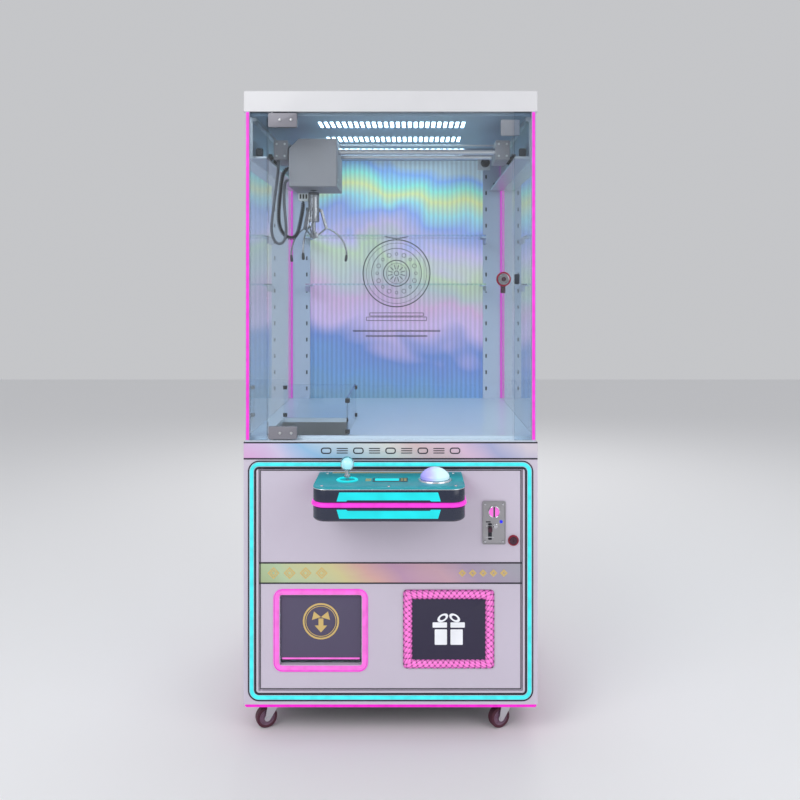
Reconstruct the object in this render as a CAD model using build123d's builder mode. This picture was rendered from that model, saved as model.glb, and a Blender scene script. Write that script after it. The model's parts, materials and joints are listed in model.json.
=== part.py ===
from build123d import *
import math
import os

# Claw crane machine. Millimetres, +Z up, front towards -Y.
# The origin is on the floor, midway between the front of the control box and the back of the cabinet.

os.makedirs("parts", exist_ok=True)

# ---- overall sizes ----
body_width = 840.0
body_depth = 860.0
body_height = 1850.0
control_reach = 190.0  # how far the control box stands out of the front plane
front_y = (control_reach - body_depth) / 2
back_y = front_y + body_depth
half_width = body_width / 2
roof_height = 60.0
roof_z = body_height - roof_height

# ---- clearances ----
running = 0.05  # radial clearance of a pin in its bore
gap = 0.3  # between moving pieces that pass each other
door_gap = 2.5  # round a door panel

# ---- casters ----
wheel_diameter = 62.0
wheel_width = 24.0
caster_trail = 28.0
caster_inset_x = 79.0
caster_inset_y = 75.0
caster_turn = {"front_left": 205.0, "front_right": 205.0, "rear_left": 160.0, "rear_right": 172.0}
kingpin_diameter = 10.0
axle_diameter = 8.0
plate_thickness = 4.0
plate_side = 66.0
raceway_height = 4.0
fork_sheet = 3.0
fork_side_gap = 1.5
caster_height = wheel_diameter + 18.0  # floor to the underside of the base tray

# ---- lower cabinet ----
panel_thickness = 15.0
front_thickness = 18.0
tray_sheet = 3.0
tray_height = 30.0
skirt_z = caster_height + 3.0
skirt_height = 12.0
skirt_thickness = 14.0
cabinet_z = caster_height + 16.0
deck_z = 860.0
deck_thickness = 14.0
deck_step = 10.0  # the front ledge lies this much lower
ledge_depth = 22.0  # clear of the glass door's fitting as it turns
cabinet_top = deck_z - deck_thickness

# ---- front door ----
door_half_width = half_width - 45.0
door_z0 = 137.0
door_z1 = 767.0
door_thickness = 18.0
door_recess = 3.0
hinge_pin_diameter = 6.0
hinge_pin_length = 12.0
hinge_inset = 6.0  # pivot axis from the hinged edge
hinge_back = 4.0  # pivot axis behind the door's face
door_face_y = front_y + door_recess

# ---- neon rectangle on the front frame ----
neon_half_width = half_width - 16.0
neon_z0 = 109.0
neon_z1 = 789.0
neon_width = 14.0
neon_proud = 6.0
neon_radius = 28.0
neon_joint = 0.4  # between two lengths of tube

# ---- prize door ----
prize_x0 = 87.0 - half_width
prize_x1 = 353.0 - half_width
prize_z0 = 191.0
prize_z1 = 423.0
prize_frame_width = 16.0
prize_frame_proud = 8.0
prize_radius = 24.0
flap_thickness = 5.0
flap_drop_gap = 14.0  # the dark gap under the flap
flap_pin_diameter = 6.0
flap_setback = 9.0  # flap pivot behind the door's face

# ---- gift window ----
gift_x0 = 36.0
gift_x1 = 296.0
gift_z0 = 199.0
gift_z1 = 423.0
gift_frame_width = 26.0
gift_proud = 10.0
gift_radius = 18.0
gift_panel_thickness = 4.0

# ---- control box ----
box_half_width = 208.0
box_z0 = 669.0
box_z1 = 760.0
box_wall = 4.0
box_radius = 38.0
box_edge = 6.0
band_proud = 5.0
band_height = 13.0
band_z = 713.0
top_thickness = 6.0
stick_x = -116.0
stick_reach = 100.0  # controls in front of the door's face
stick_pivot_drop = 18.0
ball_diameter = 38.0
ball_rise = 45.0
shaft_diameter = 9.0
stick_hole = 44.0
stick_ring = 60.0
gimbal_outer = 36.0
gimbal_inner = 24.0
gimbal_height = 10.0
gimbal_pin = 6.0
button_x = 124.0
button_diameter = 80.0
button_height = 31.0
button_rim = 9.0
button_travel = 4.0
button_stem = 32.0
bezel_width = 6.0
bezel_height = 4.0

# ---- coin acceptor ----
coin_x0 = 262.0
coin_x1 = 329.0
coin_z0 = 553.0
coin_z1 = 677.0
coin_plate = 4.0
coin_cut_inset = 7.0
mech_depth = 90.0
coin_slot_width = 3.0
coin_slot_height = 30.0
coin_slot_z = 645.0
return_x = 284.0
return_z = 590.0
return_slot_width = 6.0
return_slot_height = 30.0
return_knob = 12.0

# ---- locks ----
front_lock_x = 351.0
front_lock_z = 564.0
lock_plug = 18.0
lock_head = 22.0
lock_head_proud = 5.0
cam_length = 40.0
cam_width = 14.0
cam_sheet = 3.0
cam_back = 3.0  # cam behind the panel that it locks
key_slot = 1.6
key_depth = 3.0

# ---- glazed cabinet ----
glass_half_width = half_width - 5.0
side_glass = 6.0
post_width = 12.0
front_glass = 8.0
glass_setback = 4.0
glass_door_half = half_width - 70.0
glass_door_z0 = 853.0
glass_door_z1 = roof_z - 4.0
strip_gap = 4.0
fitting_length = 82.0
fitting_top_height = 40.0
fitting_bottom_height = 36.0
fitting_thickness = 16.0
fitting_pin_length = 10.0
glass_pivot_inset = 10.0
glass_lock_x = glass_door_half - 27.0
glass_lock_z = 1311.0
glass_lock_flange = 42.0
glass_lock_barrel = 20.0
glass_lock_plug = 12.0
glass_lock_proud = 9.0
glass_y0 = front_y + glass_setback
glass_y1 = glass_y0 + front_glass
glass_pivot_y = (glass_y0 + glass_y1) / 2
glass_pivot_x = -glass_door_half + glass_pivot_inset

# ---- roof and ceiling ----
roof_overhang = 1.0
roof_wall = 16.0
roof_sheet = 8.0
roof_edge = 5.0
ceiling_thickness = 8.0
ceiling_z = roof_z - ceiling_thickness
lamp_count = 25
lamp_pitch = 18.0
lamp_width = 10.0
lamp_rise = 5.0
lamp_rows = [(110.0, 200.0), (350.0, 440.0), (630.0, 730.0)]  # depths behind the front plane

# ---- rear columns, shelves ----
column_inner = half_width - 85.0
column_width = 74.0
column_depth = 26.0
column_wall = 3.0
column_y = 493.0
slot_pitch = 63.0
slot_height = 15.0
slot_width = 6.0
slot_inset = 12.0
back_thickness = 10.0
back_y0 = 509.0
shelf_heights = [1298.0, 1478.0]
shelf_depth = 160.0
shelf_thickness = 6.0
shelf_back_gap = 3.0
arm_length = 120.0
arm_height = 24.0
arm_sheet = 4.0

# ---- chute ----
chute_x0 = 60.0 - half_width
chute_x1 = 292.0 - half_width
chute_depth0 = 30.0
chute_depth1 = 350.0
chute_sheet = 2.0
guard_height = 110.0
guard_thickness = 5.0
bin_x0 = 56.0 - half_width
bin_x1 = 354.0 - half_width
bin_z0 = 196.0
bin_front_gap = 6.0
ramp_rise = 120.0

# ---- gantry ----
rail_z = roof_z - 122.0  # running face of the side rails
rail_flange = 40.0
rail_sheet = 6.0
rail_web = 8.0
tube_diameter = 20.0
tube_z = roof_z - 90.0
tube_depths = [150.0, 240.0]
truck_inner = half_width - 107.0
truck_width = 43.0
truck_overhang = 20.0
truck_z0 = roof_z - 117.0
truck_height = 58.0
truck_wheel = 24.0
truck_wheel_width = 12.0
carriage_x0 = 114.0 - half_width
carriage_x1 = 257.0 - half_width
carriage_z0 = roof_z - 202.0
carriage_z1 = roof_z - 59.0
carriage_depth0 = 100.0
carriage_depth1 = 280.0
carriage_sheet = 3.0
carriage_chamfer = 30.0
claw_x = 177.0 - half_width
claw_depth = 195.0
cord_hole = 14.0
hoist_diameter = 2.0
drum_diameter = 40.0
drum_flange = 52.0
drum_length = 56.0
drum_z = roof_z - 135.0
drum_shaft = 8.0
winch_motor = 36.0

# ---- claw ----
coil_diameter = 34.0
coil_z0 = roof_z - 300.0
coil_z1 = roof_z - 208.0
coil_bore = 13.0
collar_z = roof_z - 263.0
collar_height = 14.0
collar_diameter = 38.0
link_radius = 24.0  # link pivots from the claw's axis
hub_radius = 9.0
hub_z = roof_z - 344.0
elbow_radius = 40.0
elbow_z = roof_z - 318.0
tip_radius = 105.0
tip_z = roof_z - 423.0
finger_width = 6.0
finger_thickness = 5.0
claw_pin = 3.0
eye_diameter = 9.0
cheek_thickness = 2.0
cheek_gap = 0.5
finger_azimuths = [19.5, 139.5, 259.5]
tip_length = 26.0
tip_thickness = 9.0


def depth(value):
    """Y of a place the given distance behind the front plane."""
    return front_y + value


def save(part, name):
    """Label a finished piece and write it."""
    part.label = name
    export_step(part, f"parts/{name}.step")


def span(x0, x1, y0, y1, z0, z1):
    """A private block between two corners, placed by a plane inside a part's own block."""
    return Box(x1 - x0, y1 - y0, z1 - z0, align=(Align.MIN, Align.MIN, Align.MIN), mode=Mode.PRIVATE).moved(
        Location((x0, y0, z0))
    )


def rod(p, direction, radius, length):
    """A private cylinder from p along a direction."""
    plane = Plane(origin=p, z_dir=direction)
    return plane.location * Cylinder(
        radius, length, align=(Align.CENTER, Align.CENTER, Align.MIN), mode=Mode.PRIVATE
    )


# ---- base tray and casters ----
tray_half = half_width - panel_thickness
tray_y0 = front_y + front_thickness
tray_y1 = back_y - front_thickness
caster_x = half_width - caster_inset_x
caster_spots = {
    "front_left": (-caster_x, front_y + caster_inset_y),
    "front_right": (caster_x, front_y + caster_inset_y),
    "rear_left": (-caster_x, back_y - caster_inset_y),
    "rear_right": (caster_x, back_y - caster_inset_y),
}

with BuildPart() as base_tray:
    add(span(-tray_half, tray_half, tray_y0, tray_y1, caster_height, caster_height + tray_height))
    add(
        span(
            -tray_half + tray_sheet,
            tray_half - tray_sheet,
            tray_y0 + tray_sheet,
            tray_y1 - tray_sheet,
            caster_height + tray_sheet,
            caster_height + tray_height + 1,
        ),
        mode=Mode.SUBTRACT,
    )
    for rib_x in (-170.0, 170.0):
        add(
            span(
                rib_x - tray_sheet,
                rib_x + tray_sheet,
                tray_y0,
                tray_y1,
                caster_height,
                caster_height + tray_height - tray_sheet,
            )
        )
save(base_tray.part, "base_tray")

plate_z0 = caster_height - plate_thickness
raceway_z0 = plate_z0 - raceway_height
kingpin_z0 = raceway_z0 - gap - fork_sheet - 4.0
with BuildPart() as caster_plates:
    for spot in caster_spots.values():
        with BuildSketch(Plane.XY.offset(plate_z0)):
            with Locations(spot):
                RectangleRounded(plate_side, plate_side, 6)
                with GridLocations(plate_side - 16, plate_side - 16, 2, 2):
                    Circle(3.2, mode=Mode.SUBTRACT)
        extrude(amount=plate_thickness)
        with BuildSketch(Plane.XY.offset(raceway_z0)):
            with Locations(spot):
                Circle(20)
        extrude(amount=raceway_height)
        with BuildSketch(Plane.XY.offset(kingpin_z0)):
            with Locations(spot):
                Circle(kingpin_diameter / 2)
        extrude(amount=raceway_z0 - kingpin_z0)
        with BuildSketch(Plane.XY.offset(kingpin_z0 - 3)):
            with Locations(spot):
                Circle(kingpin_diameter / 2 + 3)
        extrude(amount=3)
save(caster_plates.part, "caster_plates")

wheel_z = wheel_diameter / 2
fork_top_z = raceway_z0 - gap
leg_inner = wheel_width / 2 + fork_side_gap
leg_outer = leg_inner + fork_sheet

with BuildPart() as fork_master:
    with BuildSketch(Plane.XY.offset(fork_top_z - fork_sheet)):
        Circle(leg_outer + 5)
        with Locations((caster_trail / 2, 0)):
            Rectangle(caster_trail, 2 * leg_outer)
        Circle(kingpin_diameter / 2 + running, mode=Mode.SUBTRACT)
    extrude(amount=fork_sheet)
    for side in (-1, 1):
        with BuildSketch(Plane.XZ.offset(-side * (leg_inner + leg_outer) / 2)):
            with BuildLine():
                Polyline(
                    (-10, fork_top_z - fork_sheet),
                    (caster_trail - 8, wheel_z - 4),
                    (caster_trail + 8, wheel_z - 4),
                    (caster_trail, fork_top_z - fork_sheet),
                    (-10, fork_top_z - fork_sheet),
                )
            make_face()
            with Locations((caster_trail, wheel_z)):
                Circle(9)
        extrude(amount=fork_sheet / 2, both=True)
    with BuildSketch(Plane.XZ.offset(-leg_outer - 2)):
        with Locations((caster_trail, wheel_z)):
            Circle(axle_diameter / 2)
    extrude(amount=2 * (leg_outer + 2))

with BuildPart() as wheel_master:
    with BuildSketch(Plane.XZ.offset(-wheel_width / 2)):
        with Locations((caster_trail, wheel_z)):
            Circle(wheel_diameter / 2)
            Circle(axle_diameter / 2 + running, mode=Mode.SUBTRACT)
    extrude(amount=wheel_width)
    tread = wheel_master.edges().filter_by(GeomType.CIRCLE).group_by(SortBy.RADIUS)[-1]
    fillet(tread, 3)

for name, spot in caster_spots.items():
    place = Location((spot[0], spot[1], 0), (0, 0, caster_turn[name]))
    save(place * fork_master.part, f"caster_fork_{name}")
    save(place * wheel_master.part, f"caster_wheel_{name}")

# ---- cabinet panels ----
with BuildPart() as side_panels:
    for side in (-1, 1):
        x0 = min(side * half_width, side * (half_width - panel_thickness))
        add(span(x0, x0 + panel_thickness, tray_y0, tray_y1, cabinet_z, cabinet_top))
save(side_panels.part, "side_panels")

opening_half = door_half_width + door_gap
opening_z0 = door_z0 - door_gap
opening_z1 = door_z1 + door_gap
hinge_x = -door_half_width + hinge_inset
hinge_y = door_face_y + hinge_back


def framed_panel(y0, pin_x, pin_y):
    """A cabinet face with a door opening and the two pivot holes of its door."""
    with BuildPart() as frame:
        add(span(-half_width, half_width, y0, y0 + front_thickness, cabinet_z, cabinet_top))
        add(
            span(-opening_half, opening_half, y0 - 1, y0 + front_thickness + 1, opening_z0, opening_z1),
            mode=Mode.SUBTRACT,
        )
        pin_reach = hinge_pin_length + 1
        for z in (opening_z0 - pin_reach + door_gap, opening_z1 - door_gap):
            add(
                rod((pin_x, pin_y, z), (0, 0, 1), hinge_pin_diameter / 2 + running, pin_reach),
                mode=Mode.SUBTRACT,
            )
    return frame


front_frame = framed_panel(front_y, hinge_x, hinge_y)
with BuildPart() as front_frame_bored:
    add(front_frame.part)
    add(
        rod(
            (glass_pivot_x, glass_pivot_y, glass_door_z0 - fitting_pin_length - 1),
            (0, 0, 1),
            hinge_pin_diameter / 2 + running,
            fitting_pin_length,
        ),
        mode=Mode.SUBTRACT,
    )
save(front_frame_bored.part, "front_frame")

rear_hinge_y = back_y - hinge_back
inlet_x0, inlet_x1 = half_width - 35.0, half_width - 9.0
inlet_z0, inlet_z1 = 180.0, 290.0
rear_frame = framed_panel(back_y - front_thickness, -hinge_x, rear_hinge_y)
with BuildPart() as rear_frame_cut:
    add(rear_frame.part)
    add(
        span(inlet_x0, inlet_x1, back_y - front_thickness - 1, back_y + 1, inlet_z0, inlet_z1),
        mode=Mode.SUBTRACT,
    )
save(rear_frame_cut.part, "rear_frame")

# ---- light strips: neon rectangle, skirt, corner strips ----
strip_x1 = glass_half_width - 2
strip_width = 9.0
strip_proud = 3.0
rear_strip_proud = 6.0
with BuildPart() as light_strips:
    with BuildSketch(Plane.XZ.offset(-front_y)):
        with Locations((0, (neon_z0 + neon_z1) / 2)):
            RectangleRounded(2 * neon_half_width, neon_z1 - neon_z0, neon_radius)
            RectangleRounded(
                2 * (neon_half_width - neon_width),
                neon_z1 - neon_z0 - 2 * neon_width,
                neon_radius - neon_width,
                mode=Mode.SUBTRACT,
            )
    extrude(amount=neon_proud)
    for side in (-1, 1):
        for z in (neon_z0 + neon_radius, neon_z1 - neon_radius):
            x0 = min(side * neon_half_width, side * (neon_half_width - neon_width))
            add(
                span(
                    x0 - 1,
                    x0 + neon_width + 1,
                    front_y - neon_proud - 1,
                    front_y,
                    z - neon_joint / 2,
                    z + neon_joint / 2,
                ),
                mode=Mode.SUBTRACT,
            )
        for z in (neon_z0, neon_z1 - neon_width):
            x = side * (neon_half_width - neon_radius)
            add(
                span(
                    x - neon_joint / 2,
                    x + neon_joint / 2,
                    front_y - neon_proud - 1,
                    front_y,
                    z - 1,
                    z + neon_width + 1,
                ),
                mode=Mode.SUBTRACT,
            )
    with BuildSketch(Plane.XY.offset(skirt_z)):
        with Locations((0, (front_y + back_y) / 2)):
            Rectangle(2 * (tray_half + skirt_thickness), body_depth - 2)
        with Locations((0, (tray_y0 + tray_y1) / 2)):
            Rectangle(2 * tray_half, tray_y1 - tray_y0, mode=Mode.SUBTRACT)
    extrude(amount=skirt_height)
    for side in (-1, 1):
        x0 = min(side * strip_x1, side * (strip_x1 - strip_width))
        add(span(x0, x0 + strip_width, front_y - strip_proud, front_y, deck_z - deck_step, roof_z))
        x2 = min(side * (column_inner + column_width), side * (column_inner + column_width - strip_width))
        add(span(x2, x2 + strip_width, column_y - rear_strip_proud, column_y, deck_z, ceiling_z))
save(light_strips.part, "light_strips")

# ---- playfield deck, guard, prize chute ----
with BuildPart() as playfield_deck:
    add(span(-glass_half_width, glass_half_width, front_y, back_y, cabinet_top, deck_z))
    add(
        span(-half_width, half_width, front_y - 1, front_y + ledge_depth, deck_z - deck_step, deck_z + 1),
        mode=Mode.SUBTRACT,
    )
    add(
        span(chute_x0, chute_x1, depth(chute_depth0), depth(chute_depth1), cabinet_top - 1, deck_z + 1),
        mode=Mode.SUBTRACT,
    )
    add(
        rod(
            (glass_pivot_x, glass_pivot_y, cabinet_top - 1),
            (0, 0, 1),
            hinge_pin_diameter / 2 + running,
            deck_thickness,
        ),
        mode=Mode.SUBTRACT,
    )
save(playfield_deck.part, "playfield_deck")

with BuildPart() as chute_guard:
    add(
        span(
            chute_x1,
            chute_x1 + guard_thickness,
            depth(chute_depth0),
            depth(chute_depth1) + guard_thickness,
            deck_z,
            deck_z + guard_height,
        )
    )
    add(
        span(
            chute_x0,
            chute_x1,
            depth(chute_depth1),
            depth(chute_depth1) + guard_thickness,
            deck_z,
            deck_z + guard_height,
        )
    )
save(chute_guard.part, "chute_guard")

bin_y0 = door_face_y + door_thickness + bin_front_gap
bin_y1 = depth(chute_depth1) + 5
mouth_z1 = prize_z1 - 5
with BuildPart() as prize_chute:
    add(span(bin_x0, bin_x1, bin_y0, bin_y1, bin_z0, cabinet_top))
    add(
        span(
            bin_x0 + chute_sheet,
            bin_x1 - chute_sheet,
            bin_y0 + chute_sheet,
            bin_y1 - chute_sheet,
            bin_z0 + chute_sheet,
            cabinet_top + 1,
        ),
        mode=Mode.SUBTRACT,
    )
    add(
        span(
            bin_x0 + chute_sheet + 2,
            bin_x1 - chute_sheet - 2,
            bin_y0 - 1,
            bin_y0 + chute_sheet + 1,
            bin_z0 + chute_sheet,
            mouth_z1,
        ),
        mode=Mode.SUBTRACT,
    )
    with BuildSketch(Plane.YZ.offset(bin_x0 + chute_sheet)):
        with BuildLine():
            Polyline(
                (bin_y0 + 40, bin_z0 + chute_sheet),
                (bin_y1 - chute_sheet, bin_z0 + chute_sheet + ramp_rise),
                (bin_y1 - chute_sheet, bin_z0 + chute_sheet + ramp_rise - 3),
                (bin_y0 + 50, bin_z0 + chute_sheet),
                (bin_y0 + 40, bin_z0 + chute_sheet),
            )
        make_face()
    extrude(amount=bin_x1 - bin_x0 - 2 * chute_sheet)
save(prize_chute.part, "prize_chute")

# ---- posts, columns and shelf arms ----
with BuildPart() as cabinet_posts:
    for side in (-1, 1):
        x0 = min(side * glass_half_width, side * (glass_half_width - post_width))
        add(span(x0, x0 + post_width, front_y, front_y + post_width, deck_z - deck_step, roof_z))
        add(span(x0, x0 + post_width, back_y - post_width, back_y, deck_z, roof_z))
        x2 = min(side * column_inner, side * (column_inner + column_width))
        add(span(x2, x2 + column_width, column_y, column_y + column_depth, deck_z, ceiling_z))
        add(
            span(
                x2 + column_wall,
                x2 + column_width - column_wall,
                column_y + column_wall,
                column_y + column_depth + 1,
                deck_z - 1,
                ceiling_z + 1,
            ),
            mode=Mode.SUBTRACT,
        )
        slot_total = int((ceiling_z - deck_z) / slot_pitch)
        slot_z = deck_z + slot_pitch * slot_total / 2 + slot_height / 2
        with BuildSketch(Plane.XZ.offset(-column_y - column_wall - 1)):
            with Locations((side * (column_inner + slot_inset), slot_z)):
                with GridLocations(0, slot_pitch, 1, slot_total):
                    Rectangle(slot_width, slot_height)
        extrude(amount=column_wall + 2, mode=Mode.SUBTRACT)
        for shelf_z in shelf_heights:
            arm_x = side * (column_inner + 4)
            add(
                span(
                    arm_x - arm_sheet / 2,
                    arm_x + arm_sheet / 2,
                    column_y - arm_length,
                    column_y,
                    shelf_z - arm_height,
                    shelf_z - arm_sheet,
                )
            )
            lip_x0 = min(side * (column_inner - 14), side * (column_inner + 6))
            add(
                span(lip_x0, lip_x0 + 20, column_y - arm_length, column_y, shelf_z - arm_sheet, shelf_z)
            )
save(cabinet_posts.part, "cabinet_posts")

with BuildPart() as back_panel:
    add(span(-column_inner, column_inner, back_y0, back_y0 + back_thickness, deck_z, ceiling_z))
save(back_panel.part, "back_panel")

with BuildPart() as glass_shelves:
    for shelf_z in shelf_heights:
        add(
            span(
                -column_inner + 2,
                column_inner - 2,
                back_y0 - shelf_back_gap - shelf_depth,
                back_y0 - shelf_back_gap,
                shelf_z,
                shelf_z + shelf_thickness,
            )
        )
save(glass_shelves.part, "glass_shelves")

strip_inner = glass_door_half + strip_gap
with BuildPart() as fixed_glass:
    for side in (-1, 1):
        x0 = min(side * glass_half_width, side * (glass_half_width - side_glass))
        add(span(x0, x0 + side_glass, front_y + post_width, back_y - post_width, deck_z, roof_z))
        x2 = min(side * strip_inner, side * (glass_half_width - post_width))
        x3 = max(side * strip_inner, side * (glass_half_width - post_width))
        add(span(x2, x3, glass_y0, glass_y1, deck_z - deck_step, roof_z))
save(fixed_glass.part, "fixed_glass")

# ---- roof and ceiling ----
roof_half = half_width + roof_overhang
with BuildPart() as roof_cap:
    add(span(-roof_half, roof_half, front_y, back_y, roof_z, body_height))
    fillet(roof_cap.edges().filter_by(Axis.Z), roof_edge)
    fillet(roof_cap.faces().sort_by(Axis.Z)[-1].edges(), roof_edge - 1)
    add(
        span(
            -roof_half + roof_wall,
            roof_half - roof_wall,
            front_y + roof_wall,
            back_y - roof_wall,
            roof_z - 1,
            body_height - roof_sheet,
        ),
        mode=Mode.SUBTRACT,
    )
    add(
        rod(
            (glass_pivot_x, glass_pivot_y, roof_z - 1),
            (0, 0, 1),
            hinge_pin_diameter / 2 + running,
            fitting_pin_length,
        ),
        mode=Mode.SUBTRACT,
    )
save(roof_cap.part, "roof_cap")

ceiling_half = glass_half_width - side_glass
with BuildPart() as ceiling_panel:
    add(span(-ceiling_half, ceiling_half, front_y + ledge_depth, back_y - post_width, ceiling_z, roof_z))
    for row in lamp_rows:
        with BuildSketch(Plane.XY.offset(ceiling_z - 1)):
            with Locations((0, depth((row[0] + row[1]) / 2))):
                with GridLocations(lamp_pitch, 0, lamp_count, 1):
                    Rectangle(lamp_width, row[1] - row[0])
        extrude(amount=lamp_rise + 1, mode=Mode.SUBTRACT)
save(ceiling_panel.part, "ceiling_panel")

# ---- side rails with the rear bumper ----
rail_x1 = ceiling_half
with BuildPart() as side_rails:
    for side in (-1, 1):
        web0 = min(side * rail_x1, side * (rail_x1 - rail_web))
        add(span(web0, web0 + rail_web, depth(40), column_y - 7, rail_z - rail_sheet, ceiling_z))
        flange0 = min(side * rail_x1, side * (rail_x1 - rail_web - rail_flange))
        add(
            span(
                flange0,
                flange0 + rail_web + rail_flange,
                depth(40),
                column_y - 7,
                rail_z - rail_sheet,
                rail_z,
            )
        )
        rib0 = min(side * rail_x1, side * (rail_x1 - rail_web - 10))
        add(span(rib0, rib0 + rail_web + 10, depth(40), column_y - 7, ceiling_z - 12, ceiling_z))
save(side_rails.part, "side_rails")

# ---- glass door, fittings, lock, catches ----
fitting_y0 = glass_pivot_y - fitting_thickness / 2
fitting_y1 = glass_pivot_y + fitting_thickness / 2
fitting_bands = [
    (glass_door_z0, glass_door_z0 + fitting_bottom_height),
    (glass_door_z1 - fitting_top_height, glass_door_z1),
]
with BuildPart() as door_glass:
    add(span(-glass_door_half, glass_door_half, glass_y0, glass_y1, glass_door_z0, glass_door_z1))
    for z0, z1 in fitting_bands:
        add(
            span(-glass_door_half - 1, -glass_door_half + 22, glass_y0 - 1, glass_y1 + 1, z0 - 1, z1 + 1),
            mode=Mode.SUBTRACT,
        )
    add(
        rod(
            (glass_lock_x, glass_y0 - 1, glass_lock_z),
            (0, 1, 0),
            glass_lock_barrel / 2,
            front_glass + 2,
        ),
        mode=Mode.SUBTRACT,
    )
save(door_glass.part, "door_glass")

cam_y0 = glass_y1 + 8.0
with BuildPart() as door_fittings:
    for z0, z1 in fitting_bands:
        add(
            span(-glass_door_half, -glass_door_half + fitting_length, fitting_y0, fitting_y1, z0, z1)
        )
        add(
            span(
                -glass_door_half + 22,
                -glass_door_half + fitting_length + 1,
                glass_y0,
                glass_y1,
                z0 - 1,
                z1 + 1,
            ),
            mode=Mode.SUBTRACT,
        )
    pin_r = hinge_pin_diameter / 2
    add(
        rod(
            (glass_pivot_x, glass_pivot_y, glass_door_z0 - fitting_pin_length + 1),
            (0, 0, 1),
            pin_r,
            fitting_pin_length,
        )
    )
    add(rod((glass_pivot_x, glass_pivot_y, glass_door_z1 - 1), (0, 0, 1), pin_r, fitting_pin_length))
    lock_front = (glass_lock_x, glass_y0 - glass_lock_proud, glass_lock_z)
    add(rod(lock_front, (0, 1, 0), glass_lock_flange / 2, glass_lock_proud))
    add(rod(lock_front, (0, 1, 0), glass_lock_barrel / 2, cam_y0 - 1 - lock_front[1]))
    add(rod((glass_lock_x, glass_y1, glass_lock_z), (0, 1, 0), 15, 5))
    add(
        rod(
            (glass_lock_x, lock_front[1] - 1, glass_lock_z),
            (0, 1, 0),
            glass_lock_plug / 2 + running,
            cam_y0 + 2 - lock_front[1],
        ),
        mode=Mode.SUBTRACT,
    )
save(door_fittings.part, "door_fittings")


def cam_lock(x, z, y_front, y_cam, plug, head, key_length):
    """A lock plug with a key slot in front and a cam hanging straight down behind."""
    with BuildPart() as lock:
        add(rod((x, y_front, z), (0, 1, 0), plug / 2, y_cam + cam_sheet - y_front))
        if head > plug:
            add(rod((x, y_front, z), (0, 1, 0), head / 2, lock_head_proud))
        add(
            span(
                x - key_slot / 2,
                x + key_slot / 2,
                y_front - 1,
                y_front + key_depth,
                z - key_length / 2,
                z + key_length / 2,
            ),
            mode=Mode.SUBTRACT,
        )
        add(
            span(
                x - cam_width / 2,
                x + cam_width / 2,
                y_cam,
                y_cam + cam_sheet,
                z - cam_length,
                z + cam_width / 2,
            )
        )
    return lock


door_lock = cam_lock(glass_lock_x, glass_lock_z, glass_y0 - glass_lock_proud, cam_y0, glass_lock_plug, 0, 8)
save(door_lock.part, "door_lock")

catch_x0 = glass_door_half - 34.0
catch_sheet = 6.0
catch_lap = 16.0  # on the fixed strip
stop_z0, stop_z1 = roof_z - 67.0, roof_z - 21.0
strike_half = 15.0
with BuildPart() as door_catches:
    add(span(catch_x0, strip_inner + catch_lap, glass_y1 + gap, glass_y1 + catch_sheet, stop_z0, stop_z1))
    add(span(strip_inner, strip_inner + catch_lap, glass_y1, glass_y1 + gap, stop_z0, stop_z1))
    add(
        span(
            strip_inner + 1,
            strip_inner + catch_lap,
            glass_y1,
            cam_y0 - 1,
            glass_lock_z - strike_half,
            glass_lock_z + strike_half,
        )
    )
save(door_catches.part, "door_catches")

# ---- front door and what it carries ----
flap_opening = (
    prize_x0 + prize_frame_width,
    prize_x1 - prize_frame_width,
    prize_z0 + prize_frame_width,
    prize_z1 - prize_frame_width,
)
coin_cut = (
    coin_x0 + coin_cut_inset,
    coin_x1 - coin_cut_inset,
    coin_z0 + coin_cut_inset,
    coin_z1 - coin_cut_inset,
)
flap_x0 = flap_opening[0] + 2
flap_x1 = flap_opening[1] - 2
flap_z0 = flap_opening[2] + flap_drop_gap
flap_z1 = flap_opening[3] - 2
flap_pivot_y = door_face_y + flap_setback
flap_pivot_z = flap_z1 - 4
door_back_y = door_face_y + door_thickness

with BuildPart() as front_door:
    add(span(-door_half_width, door_half_width, door_face_y, door_back_y, door_z0, door_z1))
    for opening in (flap_opening, coin_cut):
        add(
            span(opening[0], opening[1], door_face_y - 1, door_back_y + 1, opening[2], opening[3]),
            mode=Mode.SUBTRACT,
        )
    add(
        rod(
            (front_lock_x, door_face_y - 1, front_lock_z),
            (0, 1, 0),
            lock_plug / 2 + running,
            door_thickness + 2,
        ),
        mode=Mode.SUBTRACT,
    )
    add(
        rod(
            (flap_opening[0] - 8, flap_pivot_y, flap_pivot_z),
            (1, 0, 0),
            flap_pin_diameter / 2 + running,
            flap_opening[1] - flap_opening[0] + 16,
        ),
        mode=Mode.SUBTRACT,
    )
    for z in (door_z0 - hinge_pin_length, door_z1 - 1):
        add(rod((hinge_x, hinge_y, z), (0, 0, 1), hinge_pin_diameter / 2, hinge_pin_length + 1))
save(front_door.part, "front_door")

with BuildPart() as prize_flap:
    add(
        span(
            flap_x0,
            flap_x1,
            flap_pivot_y - flap_thickness / 2,
            flap_pivot_y + flap_thickness / 2,
            flap_z0,
            flap_pivot_z,
        )
    )
    add(rod((flap_x0, flap_pivot_y, flap_pivot_z), (1, 0, 0), 4, flap_x1 - flap_x0))
    add(
        rod(
            (flap_opening[0] - 6, flap_pivot_y, flap_pivot_z),
            (1, 0, 0),
            flap_pin_diameter / 2,
            flap_opening[1] - flap_opening[0] + 12,
        )
    )
save(prize_flap.part, "prize_flap")

front_lock = cam_lock(
    front_lock_x,
    front_lock_z,
    door_face_y - lock_head_proud,
    door_back_y + cam_back,
    lock_plug,
    lock_head,
    10,
)
save(front_lock.part, "front_lock")

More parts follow.
